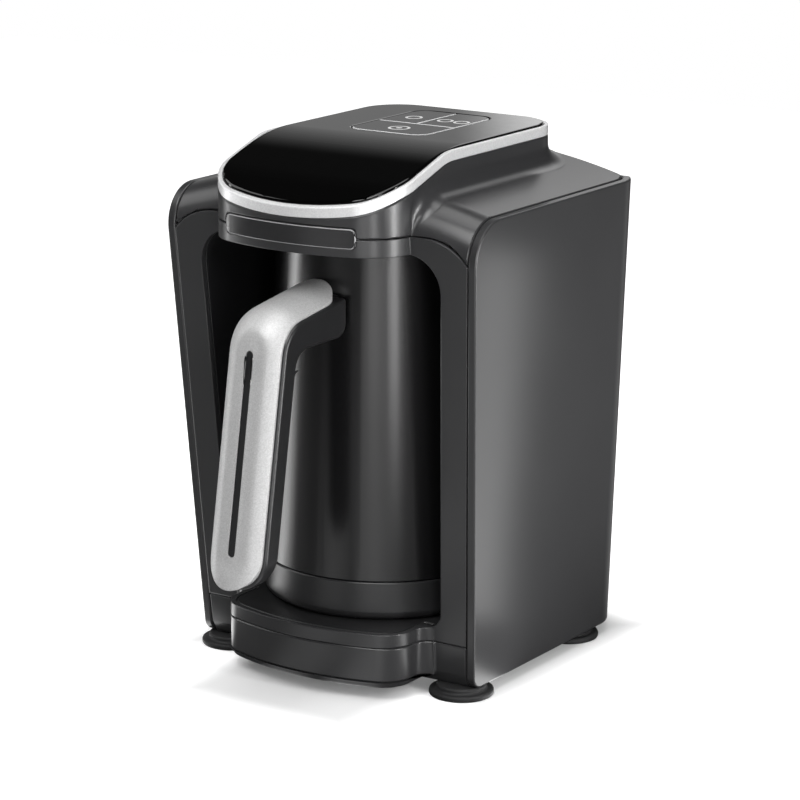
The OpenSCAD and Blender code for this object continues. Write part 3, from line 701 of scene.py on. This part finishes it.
def place(
    mesh: Skin,
    name: str,
    finish: Finish,
    body: Body,
    edge_mm: float = 0.0,
    segments: int = 2,
    rim: Finish | None = None,
) -> bpy.types.Object:
    """Makes a finished object of a skin, which it frees.

    Args:
        mesh: The shape, in metres and in place.
        name: The piece's name.
        finish: Its finish.
        body: The body that it rides on.
        edge_mm: Radius of the rounding on its sharp edges, or 0 for none.
        segments: Faces across each rounded edge.
        rim: A second finish for the rounded edges alone, which paints a highlight on them.

    Returns:
        The new object.
    """
    for face in mesh.faces:
        face.smooth = True
    for edge in mesh.edges:
        edge.smooth = edge.calc_face_angle(0.0) < math.radians(SHARP_DEGREES)
    data = bpy.data.meshes.new(name)
    mesh.to_mesh(data)
    mesh.free()
    piece = linked(name, data)
    data.materials.append(finish.material())
    if edge_mm:
        bevel = piece.modifiers.new("edges", "BEVEL")
        bevel.width = edge_mm * MM
        bevel.segments = segments
        bevel.limit_method = "ANGLE"
        bevel.angle_limit = math.radians(SHARP_DEGREES)
        bevel.use_clamp_overlap = False
        bevel.miter_outer = "MITER_ARC"
        # The rounded edges take the rim finish: a painted highlight.
        if rim:
            data.materials.append(rim.material())
            bevel.material = 1
        shade = piece.modifiers.new("shade", "WEIGHTED_NORMAL")
        shade.keep_sharp = True
    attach(piece, body.value)
    log.info("%s: %d faces on %s", name, len(data.polygons), body.value)
    return piece


@dataclass
class Assembly:
    """What every sub-assembly shares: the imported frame, its body and ways to dress its nodes."""

    frame: dict[str, Any]
    body: Body = Body.HOUSING

    def skin(
        self,
        node: str,
        name: str,
        finish: Finish,
        slot: str,
        edge_mm: float = 0.0,
        segments: int = 2,
        rim: Finish | None = None,
        flat: float = 0.2,
        mesh: Skin | None = None,
        body: Body | None = None,
    ) -> None:
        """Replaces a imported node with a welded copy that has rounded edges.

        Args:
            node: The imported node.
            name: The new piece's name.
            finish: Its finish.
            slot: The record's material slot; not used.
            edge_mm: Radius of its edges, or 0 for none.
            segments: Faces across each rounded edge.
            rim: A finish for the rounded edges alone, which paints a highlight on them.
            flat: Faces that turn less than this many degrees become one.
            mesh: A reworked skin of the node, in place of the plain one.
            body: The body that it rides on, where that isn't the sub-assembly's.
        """
        if mesh is None:
            mesh = welded(self.frame["nodes"][node], flat)
        piece = place(mesh, name, finish, body or self.body, edge_mm, segments, rim)
        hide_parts(node)

    def dress(self, finish: Finish, *nodes: str) -> None:
        """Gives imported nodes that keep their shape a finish.

        Args:
            finish: The finish.
            nodes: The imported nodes.
        """
        for node in nodes:
            data = self.frame["nodes"][node].data
            data.materials.clear()
            data.materials.append(finish.material())
            log.info("%s: dressed in %s", node, finish.name)


@dataclass
class Housing(Assembly):
    """The grey outer shells: crowned top, face frame, side panels, rear cover and base tub."""

    shell_edge_mm: float = 0.8
    panel_edge_mm: float = 0.7
    foot_edge_mm: float = 0.8
    gland_edge_mm: float = 0.3

    def build(self) -> None:
        """Makes every shell of the housing."""
        shells = (
            ("top_shell", "housing_top", HOUSING_ABS, self.shell_edge_mm),
            ("face_frame", "housing_frame", FRAME_ABS, 0.0),
            ("side_panel_left", "housing_side_left", HOUSING_ABS, self.panel_edge_mm),
            ("side_panel_right", "housing_side_right", HOUSING_ABS, self.panel_edge_mm),
            ("rear_cover", "housing_rear", HOUSING_ABS, self.panel_edge_mm),
            ("base_tub", "housing_base", HOUSING_ABS, self.shell_edge_mm),
        )
        for node, name, finish, edge_mm in shells:
            self.skin(node, name, finish, "housing_grey", edge_mm)
        self.skin("feet", "rubber_feet", FOOT_RUBBER, "rubber", self.foot_edge_mm)
        self.skin("cord_gland", "inlet_gland", BLACK_ABS, "bay_black", self.gland_edge_mm)
        self.dress(ZINC, "housing_screws", "board_screws")


@dataclass
class Neck(Assembly):
    """The hollow fillet where the raised head grows out of the crowned top."""

    head_half: float = 0.0485
    head_near: float = 0.0003
    hollow_degrees: float = 60.0
    upright_below: float = 0.02
    lying_above: float = 0.15
    radius: float = 0.009
    low_radius: float = 0.0004
    fade_low: float = 0.2045
    fade_high: float = 0.217
    band_low: float = 0.231
    band_share: float = 0.95
    sunk: float = 0.0004
    steps: int = 12

    def line(self, shell: Skin) -> list[bmesh.types.BMVert]:
        """Finds the inner corner between the head's wall and the top shell.

        Args:
            shell: The top shell's skin.

        Returns:
            Its points in order, from the left end at the front to the right one.
        """
        bend = -math.radians(self.hollow_degrees)
        hollow = {edge for edge in shell.edges if edge.calc_face_angle_signed(0.0) < bend}
        widest = next(
            vert
            for vert in shell.verts
            if abs(vert.co.x - self.head_half) < self.head_near
            and hollow.intersection(vert.link_edges)
        )
        seen = {widest}
        grown = [widest]
        while grown:
            for edge in hollow.intersection(grown.pop().link_edges):
                fresh = set(edge.verts) - seen
                seen |= fresh
                grown += fresh
        ends = [vert for vert in seen if len(hollow.intersection(vert.link_edges)) == 1]
        line = [min(ends, key=lambda vert: vert.co.x)]
        while len(line) < len(seen):
            near = {e.other_vert(line[-1]) for e in hollow.intersection(line[-1].link_edges)}
            line.append(next(iter(near - set(line[-2:]))))
        return line

    def section(self, corner: bmesh.types.BMVert) -> list[Vector]:
        """Draws the fillet's section at one point of the line.

        Args:
            corner: The point.

        Returns:
            The arc from the wall to the top, then a point sunk below the corner.
        """
        normals = [face.normal for face in corner.link_faces]
        upright = [normal for normal in normals if abs(normal.z) < self.upright_below]
        lying = [normal for normal in normals if normal.z > self.lying_above]
        wall = sum(upright, Vector()).normalized()
        top = sum(lying, Vector()).normalized()
        rise = (corner.co.z - self.fade_low) / (self.fade_high - self.fade_low)
        full = min(self.radius, self.band_share * (self.band_low - corner.co.z))
        radius = self.low_radius + (full - self.low_radius) * eased(rise)
        centre = corner.co + (wall + top) * radius / (1 + wall.dot(top))
        arc = [
            centre + radius * (-wall).slerp(-top, step / self.steps)
            for step in range(self.steps + 1)
        ]
        return arc + [corner.co - (wall + top) * self.sunk]

    def build(self) -> None:
        """Sweeps the section along the line by extruding its face from point to point."""
        shell = welded(self.frame["nodes"]["top_shell"])
        sections = [self.section(corner) for corner in self.line(shell)]
        shell.free()
        mesh = bmesh.new()
        face = mesh.faces.new([mesh.verts.new(point) for point in sections[0]])
        for points in sections[1:]:
            grown = bmesh.ops.extrude_face_region(mesh, geom=[face])["geom"]
            # The first face closes the sweep's end; the later ones would be walls inside it.
            if len(mesh.faces) > len(points) + 2:
                bmesh.ops.delete(mesh, geom=[face], context="FACES_ONLY")
            face = next(g for g in grown if isinstance(g, bmesh.types.BMFace))
            for vert, point in zip(face.verts, points):
                vert.co = point
        bmesh.ops.recalc_face_normals(mesh, faces=mesh.faces)
        place(mesh, "neck_fillet", HOUSING_ABS, self.body)


@dataclass
class Head(Assembly):
    """The head's silver band, gloss top and bare front plate."""

    bend_y: float = -0.009
    bend_turn: float = 18.1
    packed_radius: float = 0.03
    soft_radius: float = 0.1
    slice_step: float = 0.00125
    band_edge_mm: float = 0.5
    top_edge_mm: float = 0.8
    plate_edge_mm: float = 0.45
    fine_flat: float = 0.02

    def fall(self, y: float, radius: float) -> float:
        """Gives how far a bend of some radius lies below the flat top.

        Args:
            y: Where along the head.
            radius: The bend's radius.

        Returns:
            The fall, which is 0 or less.
        """
        turn = math.radians(self.bend_turn)
        reach = radius * math.tan(turn / 2)
        back = self.bend_y + reach
        if y >= back:
            return 0.0
        if y <= self.bend_y - reach * math.cos(turn):
            return (y - self.bend_y) * math.tan(turn)
        return math.sqrt(radius**2 - (back - y) ** 2) - radius

    def rolled_top(self) -> Skin:
        """Gives the gloss top a longer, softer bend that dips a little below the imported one.

        Returns:
            The reworked skin.
        """
        mesh = welded(self.frame["nodes"]["top_panel"], self.fine_flat)
        reach = self.soft_radius * math.tan(math.radians(self.bend_turn) / 2)
        sliced(mesh, 1, self.bend_y - reach, self.bend_y + reach, self.slice_step)
        for vert in mesh.verts:
            here = vert.co.y
            vert.co.z += self.fall(here, self.soft_radius) - self.fall(here, self.packed_radius)
        return mesh

    def build(self) -> None:
        """Makes the band, the top and the plate."""
        self.skin(
            "trim_band",
            "silver_band",
            BAND_SILVER,
            "silver_trim",
            self.band_edge_mm,
            flat=self.fine_flat,
        )
        self.skin(
            "top_panel",
            "gloss_top",
            TOP_ACRYLIC,
            "gloss_black",
            self.top_edge_mm,
            segments=3,
            mesh=self.rolled_top(),
        )
        self.skin(
            "front_plate",
            "bare_plate",
            PLATE_ACRYLIC,
            "plate_grey",
            self.plate_edge_mm,
            # The plate's rounded edge gets a painted highlight.
            rim=PLATE_EDGE_HIGHLIGHT,
            flat=self.fine_flat,
        )


@dataclass
class Bay(Assembly):
    """The pot's bay: its liner, the platform, the boil sensor and the connector."""

    liner_edge_mm: float = 0.6
    platform_edge_mm: float = 0.8
    sensor_edge_mm: float = 0.3

    def build(self) -> None:
        """Makes what shows inside the bay."""
        self.skin("bay_liner", "bay_lining", BAY_ABS, "bay_black", self.liner_edge_mm)
        self.skin("platform", "pot_platform", BLACK_ABS, "bay_black", self.platform_edge_mm)
        self.skin(
            "boil_sensor", "boil_sensor_window", TOP_ACRYLIC, "gloss_black", self.sensor_edge_mm
        )
        self.dress(BLACK_ABS, "connector_housing")
        self.dress(BRASS, "connector_pins")


@dataclass
class Keys(Assembly):
    """The three key caps in the gloss top and what is under them."""

    cap_edge_mm: float = 0.5

    def build(self) -> None:
        """Makes each cap on its own body."""
        for body, finish in KEY_ACRYLIC.items():
            self.skin(
                body.value,
                f"{body.value}_cap",
                finish,
                "key_grey",
                self.cap_edge_mm,
                # Each cap's rounded edge gets a painted highlight.
                rim=KEY_EDGE_HIGHLIGHT,
                body=body,
            )
        self.dress(INNER_ABS, "key_carrier")


@dataclass
class Pot(Assembly):
    """The pot: painted steel jacket, turned vessel, base ring with its heater and inlet."""

    body: Body = Body.POT
    jacket_edge_mm: float = 0.5
    vessel_edge_mm: float = 0.3
    ring_edge_mm: float = 0.6

    def build(self) -> None:
        """Makes the pot's pieces."""
        self.skin("pot_jacket", "pot_wall", POT_PAINT, "pot_black", self.jacket_edge_mm)
        self.skin("pot_vessel", "pot_inner", VESSEL_STEEL, "polished_steel", self.vessel_edge_mm)
        self.skin("pot_base_ring", "pot_ring", HANDLE_ABS, "pot_black", self.ring_edge_mm)
        self.dress(HEATER_STEEL, "heater_plate")
        self.dress(CERAMIC, "thermostat")
        self.dress(BLACK_ABS, "pot_inlet")


@dataclass
class Handle(Assembly):
    """The pot's handle: black core, silver grip cover and the dark strip in its slot."""

    body: Body = Body.POT
    core_edge_mm: float = 1.4
    strip_edge_mm: float = 0.3
    dish_low: float = 0.072
    dish_high: float = 0.158
    dish_inner: float = 0.003
    dish_outer: float = 0.009
    dish_depth: float = 0.001
    dish_step: float = 0.001
    front_below: float = -0.6
    inward: Point = (0.0, 0.985, -0.174)
    seam: Point = (0.0, -0.067091, 0.170084)
    seam_way: Point = (0.0, 0.9903, 0.1392)
    seam_near: float = 0.01 * MM

    def on_seam(self, face: bmesh.types.BMFace) -> bool:
        """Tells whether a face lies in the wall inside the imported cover's bend.

        Args:
            face: A face of the cover.

        Returns:
            True where all its corners do.
        """
        seam = Vector(self.seam)
        off = [abs((vert.co - seam).dot(self.seam_way)) for vert in face.verts]
        return max(off) < self.seam_near

    def dished_cover(self) -> Skin:
        """Sinks a long shallow dish into the cover's front, round the slot.

        Returns:
            The reworked skin.
        """
        mesh = welded(self.frame["nodes"]["grip_cover"], 0.0)
        # The leg and the run meet in the solid at a wall inside it, which the skin doesn't need.
        inner = [face for face in mesh.faces if self.on_seam(face)]
        bmesh.ops.delete(mesh, geom=inner, context="FACES_ONLY")
        log.info("grip_cover: %d inner faces taken out", len(inner))
        end = self.dish_outer
        low, high = self.dish_low - end, self.dish_high + end
        sliced(mesh, 2, low, high, 2 * self.dish_step)
        sliced(mesh, 0, -end, end, self.dish_step, top=high + self.dish_step)
        front = {
            vert
            for face in mesh.faces
            if face.normal.y < self.front_below
            for vert in face.verts
        }
        for vert in front:
            past = vert.co.z - min(max(vert.co.z, self.dish_low), self.dish_high)
            reach = math.hypot(vert.co.x, past)
            share = (self.dish_outer - reach) / (self.dish_outer - self.dish_inner)
            vert.co += Vector(self.inward) * (self.dish_depth * eased(share))
        return mesh

    def build(self) -> None:
        """Makes the handle's pieces."""
        self.skin(
            "handle_core", "handle_body", HANDLE_ABS, "handle_black", self.core_edge_mm, segments=3
        )
        self.skin(
            "grip_cover", "grip_shell", GRIP_SILVER, "silver_grip", mesh=self.dished_cover()
        )
        self.skin("grip_insert", "grip_strip", BLACK_ABS, "handle_black", self.strip_edge_mm)
        self.dress(ZINC, "handle_screws")


@dataclass
class Electrics(Assembly):
    """Boards and parts inside the housing, which no outside view shows."""

    def build(self) -> None:
        """Dresses the hidden electrical nodes."""
        self.dress(BOARD, "control_board", "power_board")
        self.dress(INNER_ABS, "tact_switches", "relay", "speaker")
        self.dress(COPPER, "transformer")
        self.dress(CERAMIC, "capacitors")


# ---- Studio ----


@dataclass(frozen=True)
class Lamp:
    """A soft rectangular lamp."""

    name: str
    stand: Point
    target: Point
    width: float
    height: float
    power: float

    def hang(self) -> None:
        """Makes the lamp and turns it to its target."""
        data = bpy.data.lights.new(self.name, "AREA")
        data.shape = "RECTANGLE"
        data.size, data.size_y, data.energy = self.width, self.height, self.power
        lamp = linked(self.name, data)
        lamp.visible_camera = False
        aimed(lamp, self.stand, self.target)
        log.info("%s: lamp of %.1f W", self.name, self.power)


@dataclass(frozen=True)
class SoftEdge:
    """A gentle change of brightness along one direction."""

    way: Point
    start: float
    end: float
    before: float = 0.0
    after: float = 1.0

    def light(self, tree: Tree, where: Socket) -> Socket:
        """Gives the brightness.

        Args:
            tree: The node tree.
            where: Where on the floor, or which way in the surround.

        Returns:
            The socket of the brightness.
        """
        along = add_node(
            tree, "VectorMath", {"operation": "DOT_PRODUCT", 1: self.way}, {0: where}
        )
        step = soft_step(self.start, self.end, self.before, self.after)
        edge = add_node(tree, "MapRange", step, {"Value": along.outputs["Value"]})
        return edge.outputs["Result"]


@dataclass(frozen=True)
class SkyGlow:
    """A soft round patch of light in the surround."""

    way: Point
    inner: float
    outer: float
    strength: float

    def light(self, tree: Tree, towards: Socket) -> Socket:
        """Gives the patch's brightness.

        Args:
            tree: The world's node tree.
            towards: The direction looked in.

        Returns:
            The socket of the brightness.
        """
        way = tuple(Vector(self.way).normalized())
        start, end = (math.cos(math.radians(angle)) for angle in (self.outer, self.inner))
        return SoftEdge(way, start, end, 0.0, self.strength).light(tree, towards)


@dataclass(frozen=True)
class FloorGlow:
    """A wedge of floor, bright to reflections only, as in front of a tall softbox."""

    azimuth: float
    half_width: float
    strength: float
    fade_start: float = 0.4
    fade_end: float = 1.6

    def light(self, tree: Tree, azimuth: Socket) -> Socket:
        """Gives the wedge's brightness.

        Args:
            tree: The floor's node tree.
            azimuth: Direction from the object's middle, in radians from the front.

        Returns:
            The socket of the brightness.
        """
        turned = {"operation": "SUBTRACT", 1: math.radians(self.azimuth)}
        off = add_node(tree, "Math", turned, {0: azimuth})
        away = add_node(tree, "Math", {"operation": "ABSOLUTE"}, {0: off.outputs[0]})
        half = math.radians(self.half_width)
        step = soft_step(self.fade_start * half, self.fade_end * half, self.strength, 0.0)
        return add_node(tree, "MapRange", step, {"Value": away.outputs[0]}).outputs["Result"]


@dataclass(frozen=True)
class Footprint:
    """A rectangle of floor under the object, square to its axes and centred on its width; round it
    the floor's glow fades as painted shade.
    """

    middle_y: float
    half_x: float
    half_y: float

    def gap(self, tree: Tree, where: Socket) -> Socket:
        """Measures how far a point of the floor lies outside the rectangle.

        Args:
            tree: The floor's node tree.
            where: Object coordinates on the floor.

        Returns:
            The socket of the distance in metres, below 0 inside it.
        """
        middle = {"operation": "SUBTRACT", 1: (0.0, self.middle_y, 0.0)}
        corner = {"operation": "SUBTRACT", 1: (self.half_x, self.half_y, 0.0)}
        moved = add_node(tree, "VectorMath", middle, {0: where})
        size = add_node(tree, "VectorMath", {"operation": "ABSOLUTE"}, {0: moved.outputs[0]})
        past = add_node(tree, "VectorMath", corner, {0: size.outputs[0]})
        flat = add_node(tree, "SeparateXYZ", {}, {"Vector": past.outputs[0]})
        return folded(tree, "MAXIMUM", [flat.outputs["X"], flat.outputs["Y"]])


@dataclass
class Studio:
    """The pale floor, white surround, soft lamps and camera."""

    camera_stand: Point = (0.7471, -1.0836, 0.4559)
    camera_target: Point = (0.0283, -0.0154, 0.1261)
    lens_mm: float = 138.67
    sensor_mm: float = 36.0
    floor_half: float = 1.5
    floor_paper: str = "#e6e6e6"
    paper_roughness: float = 0.9
    # The camera's glow of the floor at the footprint, kept low as painted shade, and away from it.
    floor_near: float = 0.1
    floor_far: float = 1.0
    shadow_reach: float = 0.03
    floor_bounce: str = "#5a5a5a"
    bounce_roughness: float = 1.0
    room_glow: float = 0.03
    # The housing and the plinth's forward bulge, round which the floor is painted darker.
    footprints: tuple[Footprint, ...] = (
        Footprint(0.04, 0.07, 0.058),
        Footprint(-0.03, 0.034, 0.042),
    )
    # A patch of floor beside the object, painted to glow to reflections only, which the side panel
    # mirrors: its inner, near and far edge.
    card: tuple[SoftEdge, ...] = (
        SoftEdge((0.845, -0.535, 0.0), 0.062, 0.085),
        SoftEdge((0.535, 0.845, 0.0), 0.0, 0.16),
        SoftEdge((0.535, 0.845, 0.0), 0.5, 1.0, 0.15, 0.0),
    )
    floor_glows: tuple[FloorGlow, ...] = (
        FloorGlow(-75.0, 9.0, 3.4),
        FloorGlow(-12.0, 12.0, 0.5),
        FloorGlow(25.0, 12.0, 0.8),
        FloorGlow(85.0, 9.0, 4.0),
        FloorGlow(163.0, 14.0, 0.3),
    )
    sky_glows: tuple[SkyGlow, ...] = (
        SkyGlow((-0.55, 0.82, 0.14), 3.0, 32.0, 0.32),
        SkyGlow((-0.455, 0.878, 0.15), 3.6, 5.6, 1.1),
        SkyGlow((-0.3, 0.8, 0.5), 5.0, 13.0, 1.2),
        SkyGlow((-0.12, 0.82, 0.56), 5.0, 13.0, 1.5),
    )
    lamps: tuple[Lamp, ...] = (
        Lamp("front_key_box", (0.1, -0.75, 1.3), MIDDLE, 0.9, 0.7, 13.0),
        Lamp("top_box", (0.0, 0.1, 1.3), MIDDLE, 0.7, 0.7, 4.5),
        Lamp("left_box", (-0.8, -0.2, 0.8), MIDDLE, 0.5, 0.5, 1.6),
        Lamp("right_front_box", (0.53, -0.53, 0.25), MIDDLE, 0.12, 0.5, 1.6),
        Lamp("low_front_box", (0.3, -0.68, 0.22), MIDDLE, 0.2, 0.42, 0.5),
        Lamp("right_strip", (0.747, -0.065, 0.25), MIDDLE, 0.06, 0.5, 3.5),
        Lamp("left_strip", (-0.713, -0.232, 0.25), MIDDLE, 0.08, 0.5, 0.6),
        Lamp(
            "side_sheen_strip", (0.137, 0.072, 0.085), (0.0773, -0.0225, 0.115), 0.022, 0.17, 0.036
        ),
    )

    def shoot(self) -> None:
        """Makes the camera."""
        data = bpy.data.cameras.new("camera")
        data.lens, data.sensor_width = self.lens_mm, self.sensor_mm
        camera = linked("camera", data)
        aimed(camera, self.camera_stand, self.camera_target)
        bpy.context.scene.camera = camera
        bpy.context.scene.view_settings.view_transform = "Standard"

    def shown_by_ray(self, tree: Tree, others: Socket, straight: Socket, output: str) -> None:
        """Shows one shader to the camera, also through clear pieces, and one to other rays.

        Args:
            tree: The node tree.
            others: The shader for the other rays.
            straight: The shader for the camera's.
            output: The kind of the tree's output node.
        """
        ray = add_node(tree, "LightPath")
        kinds = [ray.outputs["Is Camera Ray"], ray.outputs["Is Transmission Ray"]]
        shaders = {"Fac": folded(tree, "MAXIMUM", kinds), 1: others, 2: straight}
        mix = add_node(tree, "MixShader", {}, shaders)
        add_node(tree, output, {}, {"Surface": mix.outputs["Shader"]})

    def lay_floor(self) -> None:
        """Makes the floor: white paper that keeps shadows and is painted darker round the object,
        and glows that only reflections see.
        """
        mesh = bmesh.new()
        bmesh.ops.create_grid(mesh, x_segments=1, y_segments=1, size=self.floor_half)
        data = bpy.data.meshes.new("floor")
        mesh.to_mesh(data)
        mesh.free()
        floor = linked("floor", data)
        paper = bpy.data.materials.new("studio_floor_paper")
        paper.use_nodes = True
        tree = paper.node_tree
        tree.nodes.clear()
        where = add_node(tree, "TexCoord").outputs["Object"]
        sides = [footprint.gap(tree, where) for footprint in self.footprints]
        # The glow drops close to the footprints, so the floor there is painted shade as well as
        # real shadow.
        step = soft_step(0.0, self.shadow_reach, self.floor_near, self.floor_far)
        glow_with_painted_shade = add_node(tree, "MapRange", step, {"Value": folded(tree, "MINIMUM", sides)})
        looks = (
            (self.floor_bounce, self.bounce_roughness, self.reflected_glow(tree, where)),
            (self.floor_paper, self.paper_roughness, glow_with_painted_shade.outputs["Result"]),
        )
        others, straight = (
            add_node(
                tree,
                "BsdfPrincipled",
                {"Base Color": linear(colour), "Roughness": roughness, "Emission Color": WHITE},
                {"Emission Strength": glow},
            ).outputs["BSDF"]
            for colour, roughness, glow in looks
        )
        self.shown_by_ray(tree, others, straight, "OutputMaterial")
        data.materials.append(paper)

    def reflected_glow(self, tree: Tree, where: Socket) -> Socket:
        """Sums the floor's wedges and the glowing patch beside the object.

        Args:
            tree: The floor's node tree.
            where: Object coordinates on the floor.

        Returns:
            The socket of the brightness.
        """
        flat = add_node(tree, "SeparateXYZ", {}, {"Vector": where})
        front = add_node(tree, "Math", {"operation": "MULTIPLY", 1: -1.0}, {0: flat.outputs["Y"]})
        angle = {0: flat.outputs["X"], 1: front.outputs[0]}
        azimuth = add_node(tree, "Math", {"operation": "ARCTAN2"}, angle).outputs[0]
        card = folded(tree, "MULTIPLY", [edge.light(tree, where) for edge in self.card])
        wedges = [glow.light(tree, azimuth) for glow in self.floor_glows]
        return folded(tree, "ADD", [card, *wedges])

    def surround(self) -> None:
        """Makes the world: white to the camera, a dim room with soft pale cards to the rest."""
        world = bpy.data.worlds.new("studio_surround")
        bpy.context.scene.world = world
        world.use_nodes = True
        tree = world.node_tree
        tree.nodes.clear()
        towards = add_node(tree, "TexCoord").outputs["Generated"]
        cards = folded(tree, "ADD", [glow.light(tree, towards) for glow in self.sky_glows])
        room = add_node(tree, "Math", {"operation": "ADD", 1: self.room_glow}, {0: cards})
        soft = add_node(tree, "Background", {"Color": WHITE}, {"Strength": room.outputs[0]})
        white = add_node(tree, "Background", {"Color": WHITE, "Strength": 1.0})
        backgrounds = (soft.outputs["Background"], white.outputs["Background"])
        self.shown_by_ray(tree, *backgrounds, "OutputWorld")

    def build(self) -> None:
        """Makes the whole studio."""
        self.shoot()
        self.lay_floor()
        self.surround()
        for lamp in self.lamps:
            lamp.hang()


def main() -> None:
    """Builds every sub-assembly in order and reports each piece."""
    logging.basicConfig(level=logging.INFO, format="%(message)s", stream=sys.stdout)
    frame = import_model()
    Studio().build()
    for part in (Housing, Neck, Head, Bay, Keys, Pot, Handle, Electrics):
        part(frame).build()
        log.info("%s: done", part.__name__)


if __name__ == "__main__":
    main()
